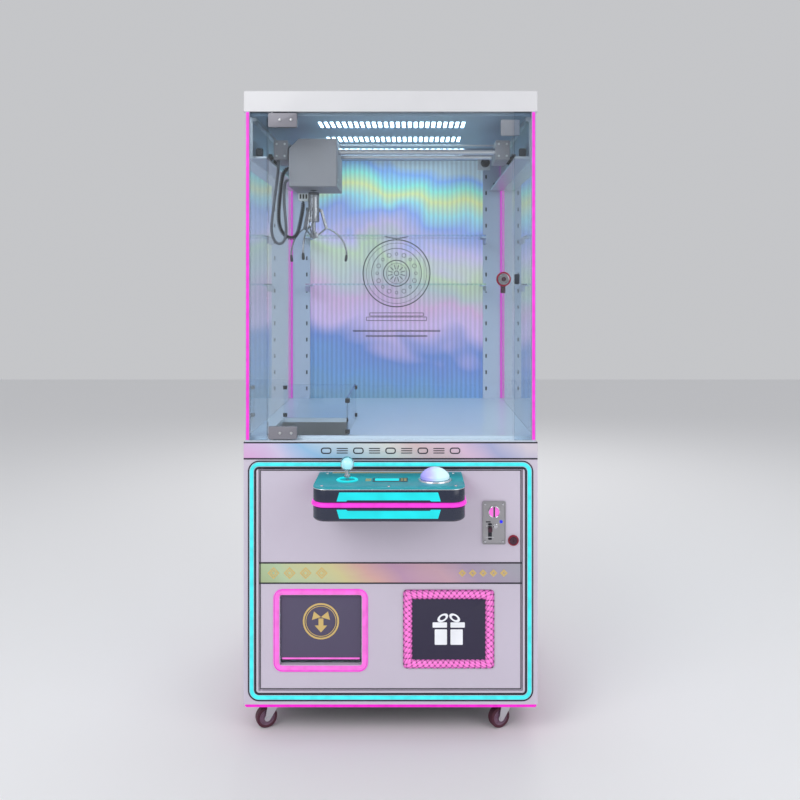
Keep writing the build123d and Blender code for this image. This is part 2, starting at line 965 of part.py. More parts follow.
with BuildPart() as gift_window:
    with BuildSketch(Plane.XZ.offset(-door_face_y)):
        with Locations(((gift_x0 + gift_x1) / 2, (gift_z0 + gift_z1) / 2)):
            RectangleRounded(gift_x1 - gift_x0, gift_z1 - gift_z0, gift_radius)
            RectangleRounded(
                gift_x1 - gift_x0 - 2 * gift_frame_width,
                gift_z1 - gift_z0 - 2 * gift_frame_width,
                6,
                mode=Mode.SUBTRACT,
            )
    extrude(amount=gift_proud)
    add(
        span(
            gift_x0 + gift_frame_width,
            gift_x1 - gift_frame_width,
            door_face_y - gift_panel_thickness,
            door_face_y,
            gift_z0 + gift_frame_width,
            gift_z1 - gift_frame_width,
        )
    )
save(gift_window.part, "gift_window")

# ---- control box ----
controls_y = door_face_y - stick_reach
box_front = front_y - control_reach
box_body_half = box_half_width - band_proud
plate_z = box_z1 - top_thickness
stick_pivot_z = box_z1 - stick_pivot_drop
bearing_x0 = gimbal_outer / 2 + 4
bearing_x1 = bearing_x0 + 6


def rounded_box(half, y_front, z0, z1, radius):
    """A private block behind y_front, with its two front vertical edges rounded."""
    block = span(-half, half, y_front, door_face_y, z0, z1)
    edges = block.edges().filter_by(Axis.Z).group_by(Axis.Y)[0]
    return fillet(edges, radius)


outer_block = rounded_box(box_body_half, box_front + band_proud, box_z0, plate_z, box_radius)
outer_block = chamfer(outer_block.faces().sort_by(Axis.Z)[0].edges().filter_by(Plane.XY), box_edge)
inner_block = rounded_box(
    box_body_half - box_wall,
    box_front + band_proud + box_wall,
    box_z0 + box_wall + 4,
    plate_z + 1,
    box_radius - box_wall,
)
with BuildPart() as control_box:
    add(outer_block)
    add(inner_block, mode=Mode.SUBTRACT)
save(control_box.part, "control_box")

top_block = rounded_box(box_body_half, box_front + band_proud, plate_z, box_z1, box_radius)
with BuildPart() as control_top:
    add(top_block)
    with BuildSketch(Plane.XY.offset(box_z1)):
        with Locations((stick_x, controls_y)):
            Circle(stick_ring / 2)
        with Locations((button_x, controls_y)):
            Circle(button_diameter / 2 + gap + bezel_width)
    extrude(amount=bezel_height)
    with BuildSketch(Plane.XY.offset(box_z1)):
        with Locations((button_x, controls_y)):
            Circle(button_diameter / 2 + gap)
    extrude(amount=bezel_height + 1, mode=Mode.SUBTRACT)
    with BuildSketch(Plane.XY.offset(plate_z - 1)):
        with Locations((stick_x, controls_y)):
            Circle(stick_hole / 2)
        with Locations((button_x, controls_y)):
            Circle(button_stem / 2 + gap)
    extrude(amount=top_thickness + bezel_height + 2, mode=Mode.SUBTRACT)
    for side in (-1, 1):
        x0 = stick_x + min(side * bearing_x0, side * bearing_x1)
        add(span(x0, x0 + 6, controls_y - 9, controls_y + 9, stick_pivot_z - 12, plate_z))
    add(
        span(
            stick_x - bearing_x1,
            stick_x + bearing_x1,
            controls_y + gimbal_outer / 2 + 6,
            controls_y + gimbal_outer / 2 + 10,
            stick_pivot_z - 12,
            plate_z,
        )
    )
    for side in (-1, 1):
        x0 = stick_x + min(side * bearing_x0, side * bearing_x1)
        add(
            span(
                x0,
                x0 + 6,
                controls_y + 9,
                controls_y + gimbal_outer / 2 + 10,
                stick_pivot_z - 12,
                plate_z,
            )
        )
    add(
        rod(
            (stick_x - bearing_x1 - 1, controls_y, stick_pivot_z),
            (1, 0, 0),
            gimbal_pin / 2 + running,
            2 * bearing_x1 + 2,
        ),
        mode=Mode.SUBTRACT,
    )
save(control_top.part, "control_top")

band_outer = rounded_box(
    box_half_width,
    box_front,
    band_z - band_height / 2,
    band_z + band_height / 2,
    box_radius + band_proud,
)
band_inner = rounded_box(
    box_body_half,
    box_front + band_proud,
    band_z - band_height,
    band_z + band_height,
    box_radius,
)
with BuildPart() as door_neon:
    add(band_outer)
    add(band_inner, mode=Mode.SUBTRACT)
    with BuildSketch(Plane.XZ.offset(-door_face_y)):
        with Locations(((prize_x0 + prize_x1) / 2, (prize_z0 + prize_z1) / 2)):
            RectangleRounded(prize_x1 - prize_x0, prize_z1 - prize_z0, prize_radius)
            RectangleRounded(
                prize_x1 - prize_x0 - 2 * prize_frame_width,
                prize_z1 - prize_z0 - 2 * prize_frame_width,
                prize_radius - prize_frame_width,
                mode=Mode.SUBTRACT,
            )
    extrude(amount=prize_frame_proud)
save(door_neon.part, "door_neon")

with BuildPart() as joystick_gimbal:
    add(
        span(
            stick_x - gimbal_outer / 2,
            stick_x + gimbal_outer / 2,
            controls_y - gimbal_outer / 2,
            controls_y + gimbal_outer / 2,
            stick_pivot_z - gimbal_height / 2,
            stick_pivot_z + gimbal_height / 2,
        )
    )
    add(
        rod(
            (stick_x - bearing_x1, controls_y, stick_pivot_z),
            (1, 0, 0),
            gimbal_pin / 2,
            2 * bearing_x1,
        )
    )
    add(
        span(
            stick_x - gimbal_inner / 2,
            stick_x + gimbal_inner / 2,
            controls_y - gimbal_inner / 2,
            controls_y + gimbal_inner / 2,
            stick_pivot_z - gimbal_height,
            stick_pivot_z + gimbal_height,
        ),
        mode=Mode.SUBTRACT,
    )
    add(
        rod(
            (stick_x, controls_y - gimbal_outer, stick_pivot_z),
            (0, 1, 0),
            gimbal_pin / 2 + running,
            2 * gimbal_outer,
        ),
        mode=Mode.SUBTRACT,
    )
save(joystick_gimbal.part, "joystick_gimbal")

ball_z = box_z1 + ball_rise
with BuildPart() as joystick:
    add(
        rod(
            (stick_x, controls_y, stick_pivot_z - 16),
            (0, 0, 1),
            shaft_diameter / 2,
            ball_z - stick_pivot_z + 16,
        )
    )
    add(
        rod(
            (stick_x, controls_y - gimbal_outer / 2 + 0.5, stick_pivot_z),
            (0, 1, 0),
            gimbal_pin / 2,
            gimbal_outer - 1,
        )
    )
    with Locations((stick_x, controls_y, ball_z)):
        Sphere(ball_diameter / 2)
save(joystick.part, "joystick")

button_z0 = box_z1 + button_travel + 0.5
button_top = button_z0 + button_height
dome_rise = button_height - button_rim
dome_radius = ((button_diameter / 2) ** 2 + dome_rise**2) / (2 * dome_rise)
dome_half_angle = math.asin(button_diameter / 2 / dome_radius) / 2
with BuildPart() as push_button:
    with BuildSketch(Plane.XZ):
        with BuildLine():
            Polyline(
                (0, button_top),
                (0, plate_z - 14),
                (button_stem / 2, plate_z - 14),
                (button_stem / 2, button_z0),
                (button_diameter / 2, button_z0),
                (button_diameter / 2, button_z0 + button_rim),
            )
            ThreePointArc(
                (button_diameter / 2, button_z0 + button_rim),
                (
                    dome_radius * math.sin(dome_half_angle),
                    button_top - dome_radius * (1 - math.cos(dome_half_angle)),
                ),
                (0, button_top),
            )
        make_face()
    revolve(axis=Axis.Z)
save(push_button.part.moved(Location((button_x, controls_y, 0))), "push_button")

# ---- coin acceptor and its return lever ----
with BuildPart() as coin_acceptor:
    with BuildSketch(Plane.XZ.offset(-door_face_y)):
        with Locations(((coin_x0 + coin_x1) / 2, (coin_z0 + coin_z1) / 2)):
            RectangleRounded(coin_x1 - coin_x0, coin_z1 - coin_z0, 5)
    extrude(amount=coin_plate)
    mech_x0, mech_x1, mech_z0, mech_z1 = coin_cut
    add(
        span(
            mech_x0 + 1,
            mech_x1 - 1,
            door_face_y,
            door_face_y + mech_depth,
            mech_z0 + 1,
            mech_z1 - 1,
        )
    )
    add(
        span(
            return_x - 14,
            return_x + 14,
            door_face_y + 2,
            door_face_y + 40,
            return_z - 22,
            return_z + 22,
        ),
        mode=Mode.SUBTRACT,
    )
    add(
        span(
            mech_x0 + 20 - coin_slot_width / 2,
            mech_x0 + 20 + coin_slot_width / 2,
            door_face_y - coin_plate - 1,
            door_face_y + 60,
            coin_slot_z - coin_slot_height / 2,
            coin_slot_z + coin_slot_height / 2,
        ),
        mode=Mode.SUBTRACT,
    )
    add(
        span(
            return_x - return_slot_width / 2,
            return_x + return_slot_width / 2,
            door_face_y - coin_plate - 1,
            door_face_y + 3,
            return_z - return_slot_height / 2,
            return_z + return_slot_height / 2,
        ),
        mode=Mode.SUBTRACT,
    )
save(coin_acceptor.part, "coin_acceptor")

lever_half = return_slot_width / 2 - gap
with BuildPart() as coin_return_lever:
    add(
        span(
            return_x - lever_half,
            return_x + lever_half,
            door_face_y - coin_plate - gap - 8,
            door_face_y + 12,
            return_z + 2,
            return_z + return_slot_height / 2 - 2,
        )
    )
    add(
        span(
            return_x - 6,
            return_x + 6,
            door_face_y - coin_plate - gap - return_knob,
            door_face_y - coin_plate - gap,
            return_z + 1,
            return_z + return_slot_height / 2 - 1,
        )
    )
    add(span(return_x - 9, return_x + 9, door_face_y + 6, door_face_y + 12, return_z, return_z + 14))
save(coin_return_lever.part, "coin_return_lever")

# ---- rear door ----
vent_rows = 8
vent_pitch = 22.0
vent_z0 = 250.0
vent_height = 8.0
vent_x = 180.0
vent_half = 70.0
with BuildPart() as rear_door:
    add(
        span(
            -door_half_width,
            door_half_width,
            back_y - front_thickness,
            back_y,
            door_z0,
            door_z1,
        )
    )
    for z in (door_z0 - hinge_pin_length, door_z1 - 1):
        add(rod((-hinge_x, rear_hinge_y, z), (0, 0, 1), hinge_pin_diameter / 2, hinge_pin_length + 1))
    for row in range(vent_rows):
        for side in (-1, 1):
            vent_z = vent_z0 + row * vent_pitch
            add(
                span(
                    side * vent_x - vent_half,
                    side * vent_x + vent_half,
                    back_y - front_thickness - 1,
                    back_y + 1,
                    vent_z,
                    vent_z + vent_height,
                ),
                mode=Mode.SUBTRACT,
            )
save(rear_door.part, "rear_door")

# ---- power inlet and rocker switch ----
inlet_face = back_y - 6.0
inlet_body = 12.0
inlet_fit = 0.5
well_depth = 10.0
socket_half = (10.0, 14.0)
rocker_well_half = (8.0, 12.0)
contact_pitch = 6.0
rocker_half = 7.0
rocker_pin = 4.0
rocker_pin_half = 10.0
rocker_y = inlet_face - 3.0
switch_z = inlet_z1 - 30.0
switch_x = (inlet_x0 + inlet_x1) / 2
socket_z = inlet_z0 + 30.0
with BuildPart() as power_inlet:
    add(
        span(
            inlet_x0 + inlet_fit,
            inlet_x1 - inlet_fit,
            inlet_face - inlet_body,
            inlet_face,
            inlet_z0 + inlet_fit,
            inlet_z1 - inlet_fit,
        )
    )
    for well_z, (well_x_half, well_z_half) in ((socket_z, socket_half), (switch_z, rocker_well_half)):
        add(
            span(
                switch_x - well_x_half,
                switch_x + well_x_half,
                inlet_face - well_depth,
                inlet_face + 1,
                well_z - well_z_half,
                well_z + well_z_half,
            ),
            mode=Mode.SUBTRACT,
        )
    for k in (-1, 0, 1):
        contact_x = switch_x + k * contact_pitch
        add(
            span(
                contact_x - 1,
                contact_x + 1,
                inlet_face - well_depth - 1,
                inlet_face - 3,
                socket_z - 3,
                socket_z + 3,
            )
        )
    add(
        rod(
            (switch_x - rocker_pin_half - gap, rocker_y, switch_z),
            (1, 0, 0),
            rocker_pin / 2 + running,
            2 * (rocker_pin_half + gap),
        ),
        mode=Mode.SUBTRACT,
    )
save(power_inlet.part, "power_inlet")

with BuildPart() as power_switch:
    with BuildSketch(Plane.YZ.offset(switch_x - rocker_half)):
        with BuildLine():
            Polyline(
                (rocker_y - 4, switch_z - 6),
                (rocker_y + 5.4, switch_z - 10),
                (rocker_y + 3.6, switch_z),
                (rocker_y + 2.4, switch_z + 10),
                (rocker_y - 4, switch_z + 6),
                (rocker_y - 4, switch_z - 6),
            )
        make_face()
    extrude(amount=2 * rocker_half)
    add(
        rod(
            (switch_x - rocker_pin_half, rocker_y, switch_z),
            (1, 0, 0),
            rocker_pin / 2,
            2 * rocker_pin_half,
        )
    )
save(power_switch.part, "power_switch")

# ---- inside the lower cabinet ----
floor_z = caster_height + tray_sheet
coin_box_x0, coin_box_x1 = 235.0, 355.0
coin_box_y0, coin_box_y1 = -270.0, -110.0
coin_box_height = 150.0
coin_box_sheet = 2.0
with BuildPart() as coin_box:
    add(span(coin_box_x0, coin_box_x1, coin_box_y0, coin_box_y1, floor_z, floor_z + coin_box_height))
    add(
        span(
            coin_box_x0 + coin_box_sheet,
            coin_box_x1 - coin_box_sheet,
            coin_box_y0 + coin_box_sheet,
            coin_box_y1 - coin_box_sheet,
            floor_z + coin_box_sheet,
            floor_z + coin_box_height + 1,
        ),
        mode=Mode.SUBTRACT,
    )
save(coin_box.part, "coin_box")

supply_x0, supply_x1 = 60.0, 160.0
supply_y0, supply_y1 = 250.0, 450.0
supply_height = 50.0
supply_corner = 3.0
supply_vents = 8
supply_vent_pitch = 20.0
supply_vent_width = 6.0
supply_vent_depth = 2.0
with BuildPart() as power_supply:
    add(span(supply_x0, supply_x1, supply_y0, supply_y1, floor_z, floor_z + supply_height))
    fillet(power_supply.edges().filter_by(Axis.Z), supply_corner)
    for k in range(supply_vents):
        vent_y = supply_y0 + (k + 1) * supply_vent_pitch
        add(
            span(
                supply_x0 + supply_vent_pitch,
                supply_x1 - supply_vent_pitch,
                vent_y,
                vent_y + supply_vent_width,
                floor_z + supply_height - supply_vent_depth,
                floor_z + supply_height + 1,
            ),
            mode=Mode.SUBTRACT,
        )
save(power_supply.part, "power_supply")

board_x1 = tray_half - 12.0
board_x0 = board_x1 - 2.0
board_y0, board_y1 = 120.0, 320.0
board_z0, board_z1 = 420.0, 560.0
pillar_inset = 10.0
pillar_radius = 4.0
# offset from the board's lower corner, size and rise of each component
board_parts = [
    (40.0, 30.0, 40.0, 40.0, 4.0),
    (110.0, 20.0, 60.0, 20.0, 10.0),
    (30.0, 100.0, 30.0, 20.0, 14.0),
    (100.0, 80.0, 50.0, 40.0, 6.0),
]
with BuildPart() as control_board:
    add(span(board_x0, board_x1, board_y0, board_y1, board_z0, board_z1))
    for y in (board_y0 + pillar_inset, board_y1 - pillar_inset):
        for z in (board_z0 + pillar_inset, board_z1 - pillar_inset):
            add(rod((board_x1, y, z), (1, 0, 0), pillar_radius, tray_half - board_x1))
    for dy, dz, part_depth, part_height, rise in board_parts:
        y, z = board_y0 + dy, board_z0 + dz
        add(span(board_x0 - rise, board_x0, y, y + part_depth, z, z + part_height))
save(control_board.part, "control_board")

# ---- gantry bridge ----
truck_y0 = depth(tube_depths[0]) - truck_overhang
truck_y1 = depth(tube_depths[1]) + truck_overhang
truck_x1 = truck_inner + truck_width
with BuildPart() as bridge:
    for tube_depth in tube_depths:
        add(
            rod(
                (-truck_inner - 1, depth(tube_depth), tube_z),
                (1, 0, 0),
                tube_diameter / 2,
                2 * truck_inner + 2,
            )
        )
    for side in (-1, 1):
        x0 = min(side * truck_inner, side * truck_x1)
        add(span(x0, x0 + truck_width, truck_y0, truck_y1, truck_z0, truck_z0 + truck_height))
        wheel_z0 = rail_z + gap + truck_wheel / 2
        for y in (truck_y0 + 18, truck_y1 - 18):
            start = side * truck_x1
            add(rod((start - side, y, wheel_z0), (side, 0, 0), 4, truck_wheel_width + 9))
            add(rod((start + side * 7, y, wheel_z0), (side, 0, 0), truck_wheel / 2, truck_wheel_width))
save(bridge.part, "bridge")

# ---- carriage, winch, claw ----
claw_y = depth(claw_depth)
carriage_y0 = depth(carriage_depth0)
carriage_y1 = depth(carriage_depth1)
drum_y = claw_y + hoist_diameter / 2 + gap + drum_diameter / 2


def carriage_corners(inset):
    """The carriage seen from the front, a box with its upper left corner cut off."""
    x0 = carriage_x0 + inset
    x1 = carriage_x1 - inset
    z0 = carriage_z0 + inset
    z1 = carriage_z1 - inset
    cut = carriage_chamfer
    return [(x0, z0), (x1, z0), (x1, z1), (x0 + cut, z1), (x0, z1 - cut), (x0, z0)]


with BuildPart() as carriage:
    with BuildSketch(Plane.XZ.offset(-carriage_y0)):
        with BuildLine():
            Polyline(*carriage_corners(0))
        make_face()
    extrude(amount=carriage_y0 - carriage_y1)
    with BuildSketch(Plane.XZ.offset(-carriage_y0 - carriage_sheet)):
        with BuildLine():
            Polyline(*carriage_corners(carriage_sheet))
        make_face()
    extrude(amount=carriage_y0 - carriage_y1 + 2 * carriage_sheet, mode=Mode.SUBTRACT)
    add(rod((carriage_x0 + 1, drum_y, drum_z), (1, 0, 0), drum_shaft / 2, carriage_x1 - carriage_x0 - 2))
    add(rod((carriage_x1 - 40, drum_y, drum_z), (1, 0, 0), winch_motor / 2, 39))
    for tube_depth in tube_depths:
        add(
            rod(
                (carriage_x0 - 1, depth(tube_depth), tube_z),
                (1, 0, 0),
                tube_diameter / 2 + gap,
                carriage_x1 - carriage_x0 + 2,
            ),
            mode=Mode.SUBTRACT,
        )
    add(rod((claw_x, claw_y, carriage_z0 - 1), (0, 0, 1), cord_hole / 2, 6), mode=Mode.SUBTRACT)
save(carriage.part, "carriage")

drum_x0 = claw_x - drum_length / 2
with BuildPart() as winch_drum:
    add(rod((drum_x0, drum_y, drum_z), (1, 0, 0), drum_diameter / 2, drum_length))
    for x in (drum_x0, drum_x0 + drum_length - 3):
        add(rod((x, drum_y, drum_z), (1, 0, 0), drum_flange / 2, 3))
    add(
        rod((drum_x0 - 1, drum_y, drum_z), (1, 0, 0), drum_shaft / 2 + running, drum_length + 2),
        mode=Mode.SUBTRACT,
    )
save(winch_drum.part, "winch_drum")

with BuildPart() as hoist_cord:
    add(rod((claw_x, claw_y, coil_z1), (0, 0, 1), hoist_diameter / 2, drum_z - coil_z1))
save(hoist_cord.part, "hoist_cord")

lug_half = 2.0
with BuildPart() as claw_coil:
    add(rod((claw_x, claw_y, coil_z0), (0, 0, 1), coil_diameter / 2, coil_z1 - coil_z0))
    add(
        rod(
            (claw_x, claw_y, collar_z - collar_height / 2),
            (0, 0, 1),
            collar_diameter / 2,
            collar_height,
        )
    )
    add(
        span(
            claw_x - coil_diameter / 2 - 30,
            claw_x - coil_diameter / 2 + 1,
            claw_y - 11,
            claw_y + 11,
            coil_z1 - 24,
            coil_z1 - 4,
        )
    )
    add(rod((claw_x, claw_y, coil_z0 - 1), (0, 0, 1), coil_bore / 2, 70), mode=Mode.SUBTRACT)
    for azimuth in finger_azimuths:
        turned = Location((claw_x, claw_y, 0), (0, 0, azimuth))
        lug = span(coil_diameter / 2 - 1, link_radius + 3, -lug_half, lug_half, collar_z - 4, collar_z + 4)
        add(turned * lug)
        pin = rod((link_radius, -lug_half - 4, collar_z), (0, 1, 0), claw_pin / 2, 2 * lug_half + 8)
        add(turned * pin)
save(claw_coil.part, "claw_coil")

ear_inner = finger_thickness / 2 + gap
ear_outer = ear_inner + 2
with BuildPart() as claw_plunger:
    add(rod((claw_x, claw_y, hub_z - 7), (0, 0, 1), 4, 40))
    rod_z0 = hub_z + 14
    add(rod((claw_x, claw_y, rod_z0), (0, 0, 1), (coil_bore - 1) / 2 - running, coil_z0 + 30 - rod_z0))
    add(rod((claw_x, claw_y, hub_z + 9), (0, 0, 1), 10, 5))
    for azimuth in finger_azimuths:
        turned = Location((claw_x, claw_y, 0), (0, 0, azimuth))
        for side in (-1, 1):
            y0 = min(side * ear_inner, side * ear_outer)
            add(turned * span(1, hub_radius + 3.5, y0, y0 + 2, hub_z - 5, hub_z + 10))
        add(turned * rod((hub_radius, -ear_outer, hub_z), (0, 1, 0), claw_pin / 2, 2 * ear_outer))
save(claw_plunger.part, "claw_plunger")


def claw_finger():
    """One finger in the plane of the claw's axis and +X: hub eye, elbow, curved arm and tip."""
    with BuildPart() as finger:
        with BuildSketch(Plane.XZ):
            with BuildLine() as path:
                Line((hub_radius, hub_z), (elbow_radius, elbow_z))
                ThreePointArc(
                    (elbow_radius, elbow_z),
                    (elbow_radius + 48, elbow_z - 32),
                    (tip_radius, tip_z + tip_length),
                )
                Line((tip_radius, tip_z + tip_length), (tip_radius - 3, tip_z + 4))
            trace(line_width=finger_width)
            with Locations((hub_radius, hub_z), (elbow_radius, elbow_z)):
                Circle(eye_diameter / 2)
            with BuildLine():
                Line((tip_radius, tip_z + tip_length), (tip_radius - 3, tip_z + tip_thickness / 2))
            trace(line_width=tip_thickness)
            with Locations((hub_radius, hub_z)):
                Circle(claw_pin / 2 + running, mode=Mode.SUBTRACT)
        extrude(amount=finger_thickness / 2, both=True)
    return finger.part


def claw_link():
    """Two cheeks from the collar's pivot to the elbow, joined by a spacer half way."""
    cheek_y0 = max(lug_half, finger_thickness / 2) + cheek_gap
    middle = ((link_radius + elbow_radius) / 2, (collar_z + elbow_z) / 2)
    with BuildPart() as link:
        for side in (-1, 1):
            with BuildSketch(Plane.XZ.offset(-side * (cheek_y0 + cheek_thickness / 2))):
                with BuildLine():
                    Line((link_radius, collar_z), (elbow_radius, elbow_z))
                trace(line_width=6)
                with Locations((link_radius, collar_z), (elbow_radius, elbow_z)):
                    Circle(eye_diameter / 2)
                with Locations((link_radius, collar_z)):
                    Circle(claw_pin / 2 + running, mode=Mode.SUBTRACT)
            extrude(amount=cheek_thickness / 2, both=True)
        add(rod((middle[0], -cheek_y0 - 1, middle[1]), (0, 1, 0), 2.5, 2 * cheek_y0 + 2))
    return link.part


finger_part = claw_finger()
link_part = claw_link()
for number, azimuth in enumerate(finger_azimuths, start=1):
    place = Location((claw_x, claw_y, 0), (0, 0, azimuth))
    save(place * finger_part, f"claw_finger_{number}")
    save(place * link_part, f"claw_link_{number}")


# ---- cords that hang in the gantry ----
# how far the parked gantry moves with the body's sizes
park_shift = Vector(420.0 - half_width, front_y + 335.0, roof_z - 1790.0)


def cord_tube(points, diameter):
    """A tube along straight runs joined by arcs as large as the runs allow."""
    vectors = [Vector(*p) + park_shift for p in points]
    radii = []
    for a, b, c in zip(vectors, vectors[1:], vectors[2:]):
        turn = math.radians((b - a).get_angle(c - b))
        shorter = min((b - a).length, (c - b).length)
        radii.append(0.45 * shorter / math.tan(turn / 2))
    path = FilletPolyline(*vectors, radius=radii, mode=Mode.PRIVATE)
    section = Plane(origin=path @ 0, z_dir=path % 0) * Circle(diameter / 2, mode=Mode.PRIVATE)
    tube = sweep(section, path=path, mode=Mode.PRIVATE)
    ideal = math.pi * diameter**2 / 4 * path.length
    print("cord length", round(path.length, 1), "radii", [round(r, 1) for r in radii])
    print("volume ratio", round(tube.volume / ideal, 4))
    return tube


claw_cord_diameter = 14.0
claw_cord_points = [
    (-306.0, -150.0, 1655.0),
    (-322.0, -150.0, 1655.0),
    (-335.0, -150.0, 1643.0),
    (-341.0, -149.0, 1618.0),
    (-345.0, -148.0, 1580.0),
    (-350.0, -147.0, 1532.0),
    (-351.0, -146.0, 1496.0),
    (-346.0, -145.0, 1468.0),
    (-331.0, -144.0, 1446.0),
    (-309.0, -143.0, 1438.0),
    (-293.0, -142.0, 1452.0),
    (-287.0, -141.0, 1478.0),
    (-281.0, -140.0, 1508.0),
    (-276.0, -140.0, 1534.0),
    (-276.0, -140.0, 1558.0),
]
save(cord_tube(claw_cord_points, claw_cord_diameter), "claw_cord")

hose_diameter = 9.0
hose_points = [
    (-344.0, -190.0, 1673.0),
    (-344.0, -190.0, 1645.0),
    (-349.0, -191.0, 1605.0),
    (-356.0, -191.0, 1550.0),
    (-363.0, -192.0, 1496.0),
    (-365.0, -192.0, 1462.0),
    (-361.0, -192.0, 1438.0),
    (-350.0, -192.0, 1422.0),
    (-336.0, -192.0, 1419.0),
    (-325.0, -192.0, 1430.0),
    (-320.0, -191.0, 1452.0),
    (-322.0, -190.0, 1490.0),
    (-327.0, -189.0, 1535.0),
    (-327.0, -188.0, 1580.0),
    (-325.0, -188.0, 1602.0),
    (-320.0, -188.0, 1614.0),
    (-306.0, -188.0, 1614.0),
]
save(cord_tube(hose_points, hose_diameter), "supply_hose")
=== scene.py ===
"""Looks of a free-standing claw crane machine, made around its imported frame.

Every surface is worked out as an array of points: a section carried along a path, a profile turned about an
axis, or a stack of outlines. Sizes are in metres, in the frame's own axes: +Z up and the front towards -Y.
"""

import json
import logging
from math import asin, atan2, cos, degrees, pi, radians, sin
from dataclasses import dataclass, field
from enum import Enum

import bmesh
import bpy
import numpy as np
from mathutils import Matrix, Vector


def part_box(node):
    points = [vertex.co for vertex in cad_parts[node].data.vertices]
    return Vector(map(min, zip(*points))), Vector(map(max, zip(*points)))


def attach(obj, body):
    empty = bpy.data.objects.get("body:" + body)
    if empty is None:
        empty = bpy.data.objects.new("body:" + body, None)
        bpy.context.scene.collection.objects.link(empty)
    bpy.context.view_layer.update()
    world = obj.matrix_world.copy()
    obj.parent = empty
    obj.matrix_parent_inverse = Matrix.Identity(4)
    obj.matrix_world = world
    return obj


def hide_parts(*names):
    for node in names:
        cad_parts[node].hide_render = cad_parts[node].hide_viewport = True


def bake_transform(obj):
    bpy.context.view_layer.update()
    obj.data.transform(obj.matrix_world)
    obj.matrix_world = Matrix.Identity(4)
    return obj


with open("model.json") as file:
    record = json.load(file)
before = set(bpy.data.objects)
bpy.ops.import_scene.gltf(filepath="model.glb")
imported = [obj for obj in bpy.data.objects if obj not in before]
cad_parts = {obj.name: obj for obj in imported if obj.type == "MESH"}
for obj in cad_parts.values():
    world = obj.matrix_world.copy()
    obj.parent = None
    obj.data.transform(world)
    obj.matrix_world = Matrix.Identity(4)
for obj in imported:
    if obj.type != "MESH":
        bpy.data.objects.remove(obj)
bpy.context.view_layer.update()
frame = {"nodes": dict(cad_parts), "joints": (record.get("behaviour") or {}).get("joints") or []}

log = logging.getLogger("claw_machine")
Array = np.ndarray
Pair = tuple[float, float]
Triple = tuple[float, float, float]


# ------------------------------------------------------------------ surfaces
class Axis(Enum):
    """The frame axis that a section is stacked along, with the two axes it lies in."""

    X = (1, 2, 0)
    Y = (2, 0, 1)
    Z = (0, 1, 2)


def on_axis(axis: Axis, across: Array, along: Array) -> Array:
    """Put two-dimensional points and their heights into the frame.

    Args:
        axis: the axis that the heights run along.
        across: points in the section, shape (..., 2).
        along: heights, shape (...).

    Returns:
        Points of shape (..., 3).
    """
    out = np.zeros(along.shape + (3,))
    first, second, third = axis.value
    out[..., first] = across[..., 0]
    out[..., second] = across[..., 1]
    out[..., third] = along
    return out


def rounded_outline(half: Pair, radius: float, steps: int = 6) -> Array:
    """A rounded rectangle about the origin, anticlockwise.

    Each corner is a quarter circle: the corner's centre plus radius times (cos, sin) of its angle.

    Args:
        half: half the width and half the height.
        radius: the corners' radius.
        steps: points in each corner.

    Returns:
        Points of shape (4 * steps, 2).
    """
    radius = max(min(radius, half[0] - 1e-6, half[1] - 1e-6), 1e-5)
    turn = np.linspace(0, pi / 2, steps)
    signs = np.array([(1, 1), (-1, 1), (-1, -1), (1, -1)])
    centres = signs * (np.array(half) - radius)
    angles = turn[None, :] + np.arange(4)[:, None] * pi / 2
    ring = centres[:, None, :] + radius * np.stack([np.cos(angles), np.sin(angles)], axis=-1)
    return ring.reshape(-1, 2)


def circle_outline(radius: float, steps: int = 40) -> Array:
    """A circle about the origin: radius times (cos, sin) of evenly spaced angles."""
    angles = np.arange(steps) * 2 * pi / steps
    return radius * np.stack([np.cos(angles), np.sin(angles)], axis=-1)


def frames_along(path: Array, reference: Array) -> tuple[Array, Array, Array]:
    """Unit tangents of a path, with two unit normals worked out from a fixed reference direction."""
    tangent = np.gradient(path, axis=0)
    tangent /= np.linalg.norm(tangent, axis=1)[:, None]
    side = np.cross(tangent, reference)
    side /= np.linalg.norm(side, axis=1)[:, None]
    return tangent, side, np.cross(side, tangent)


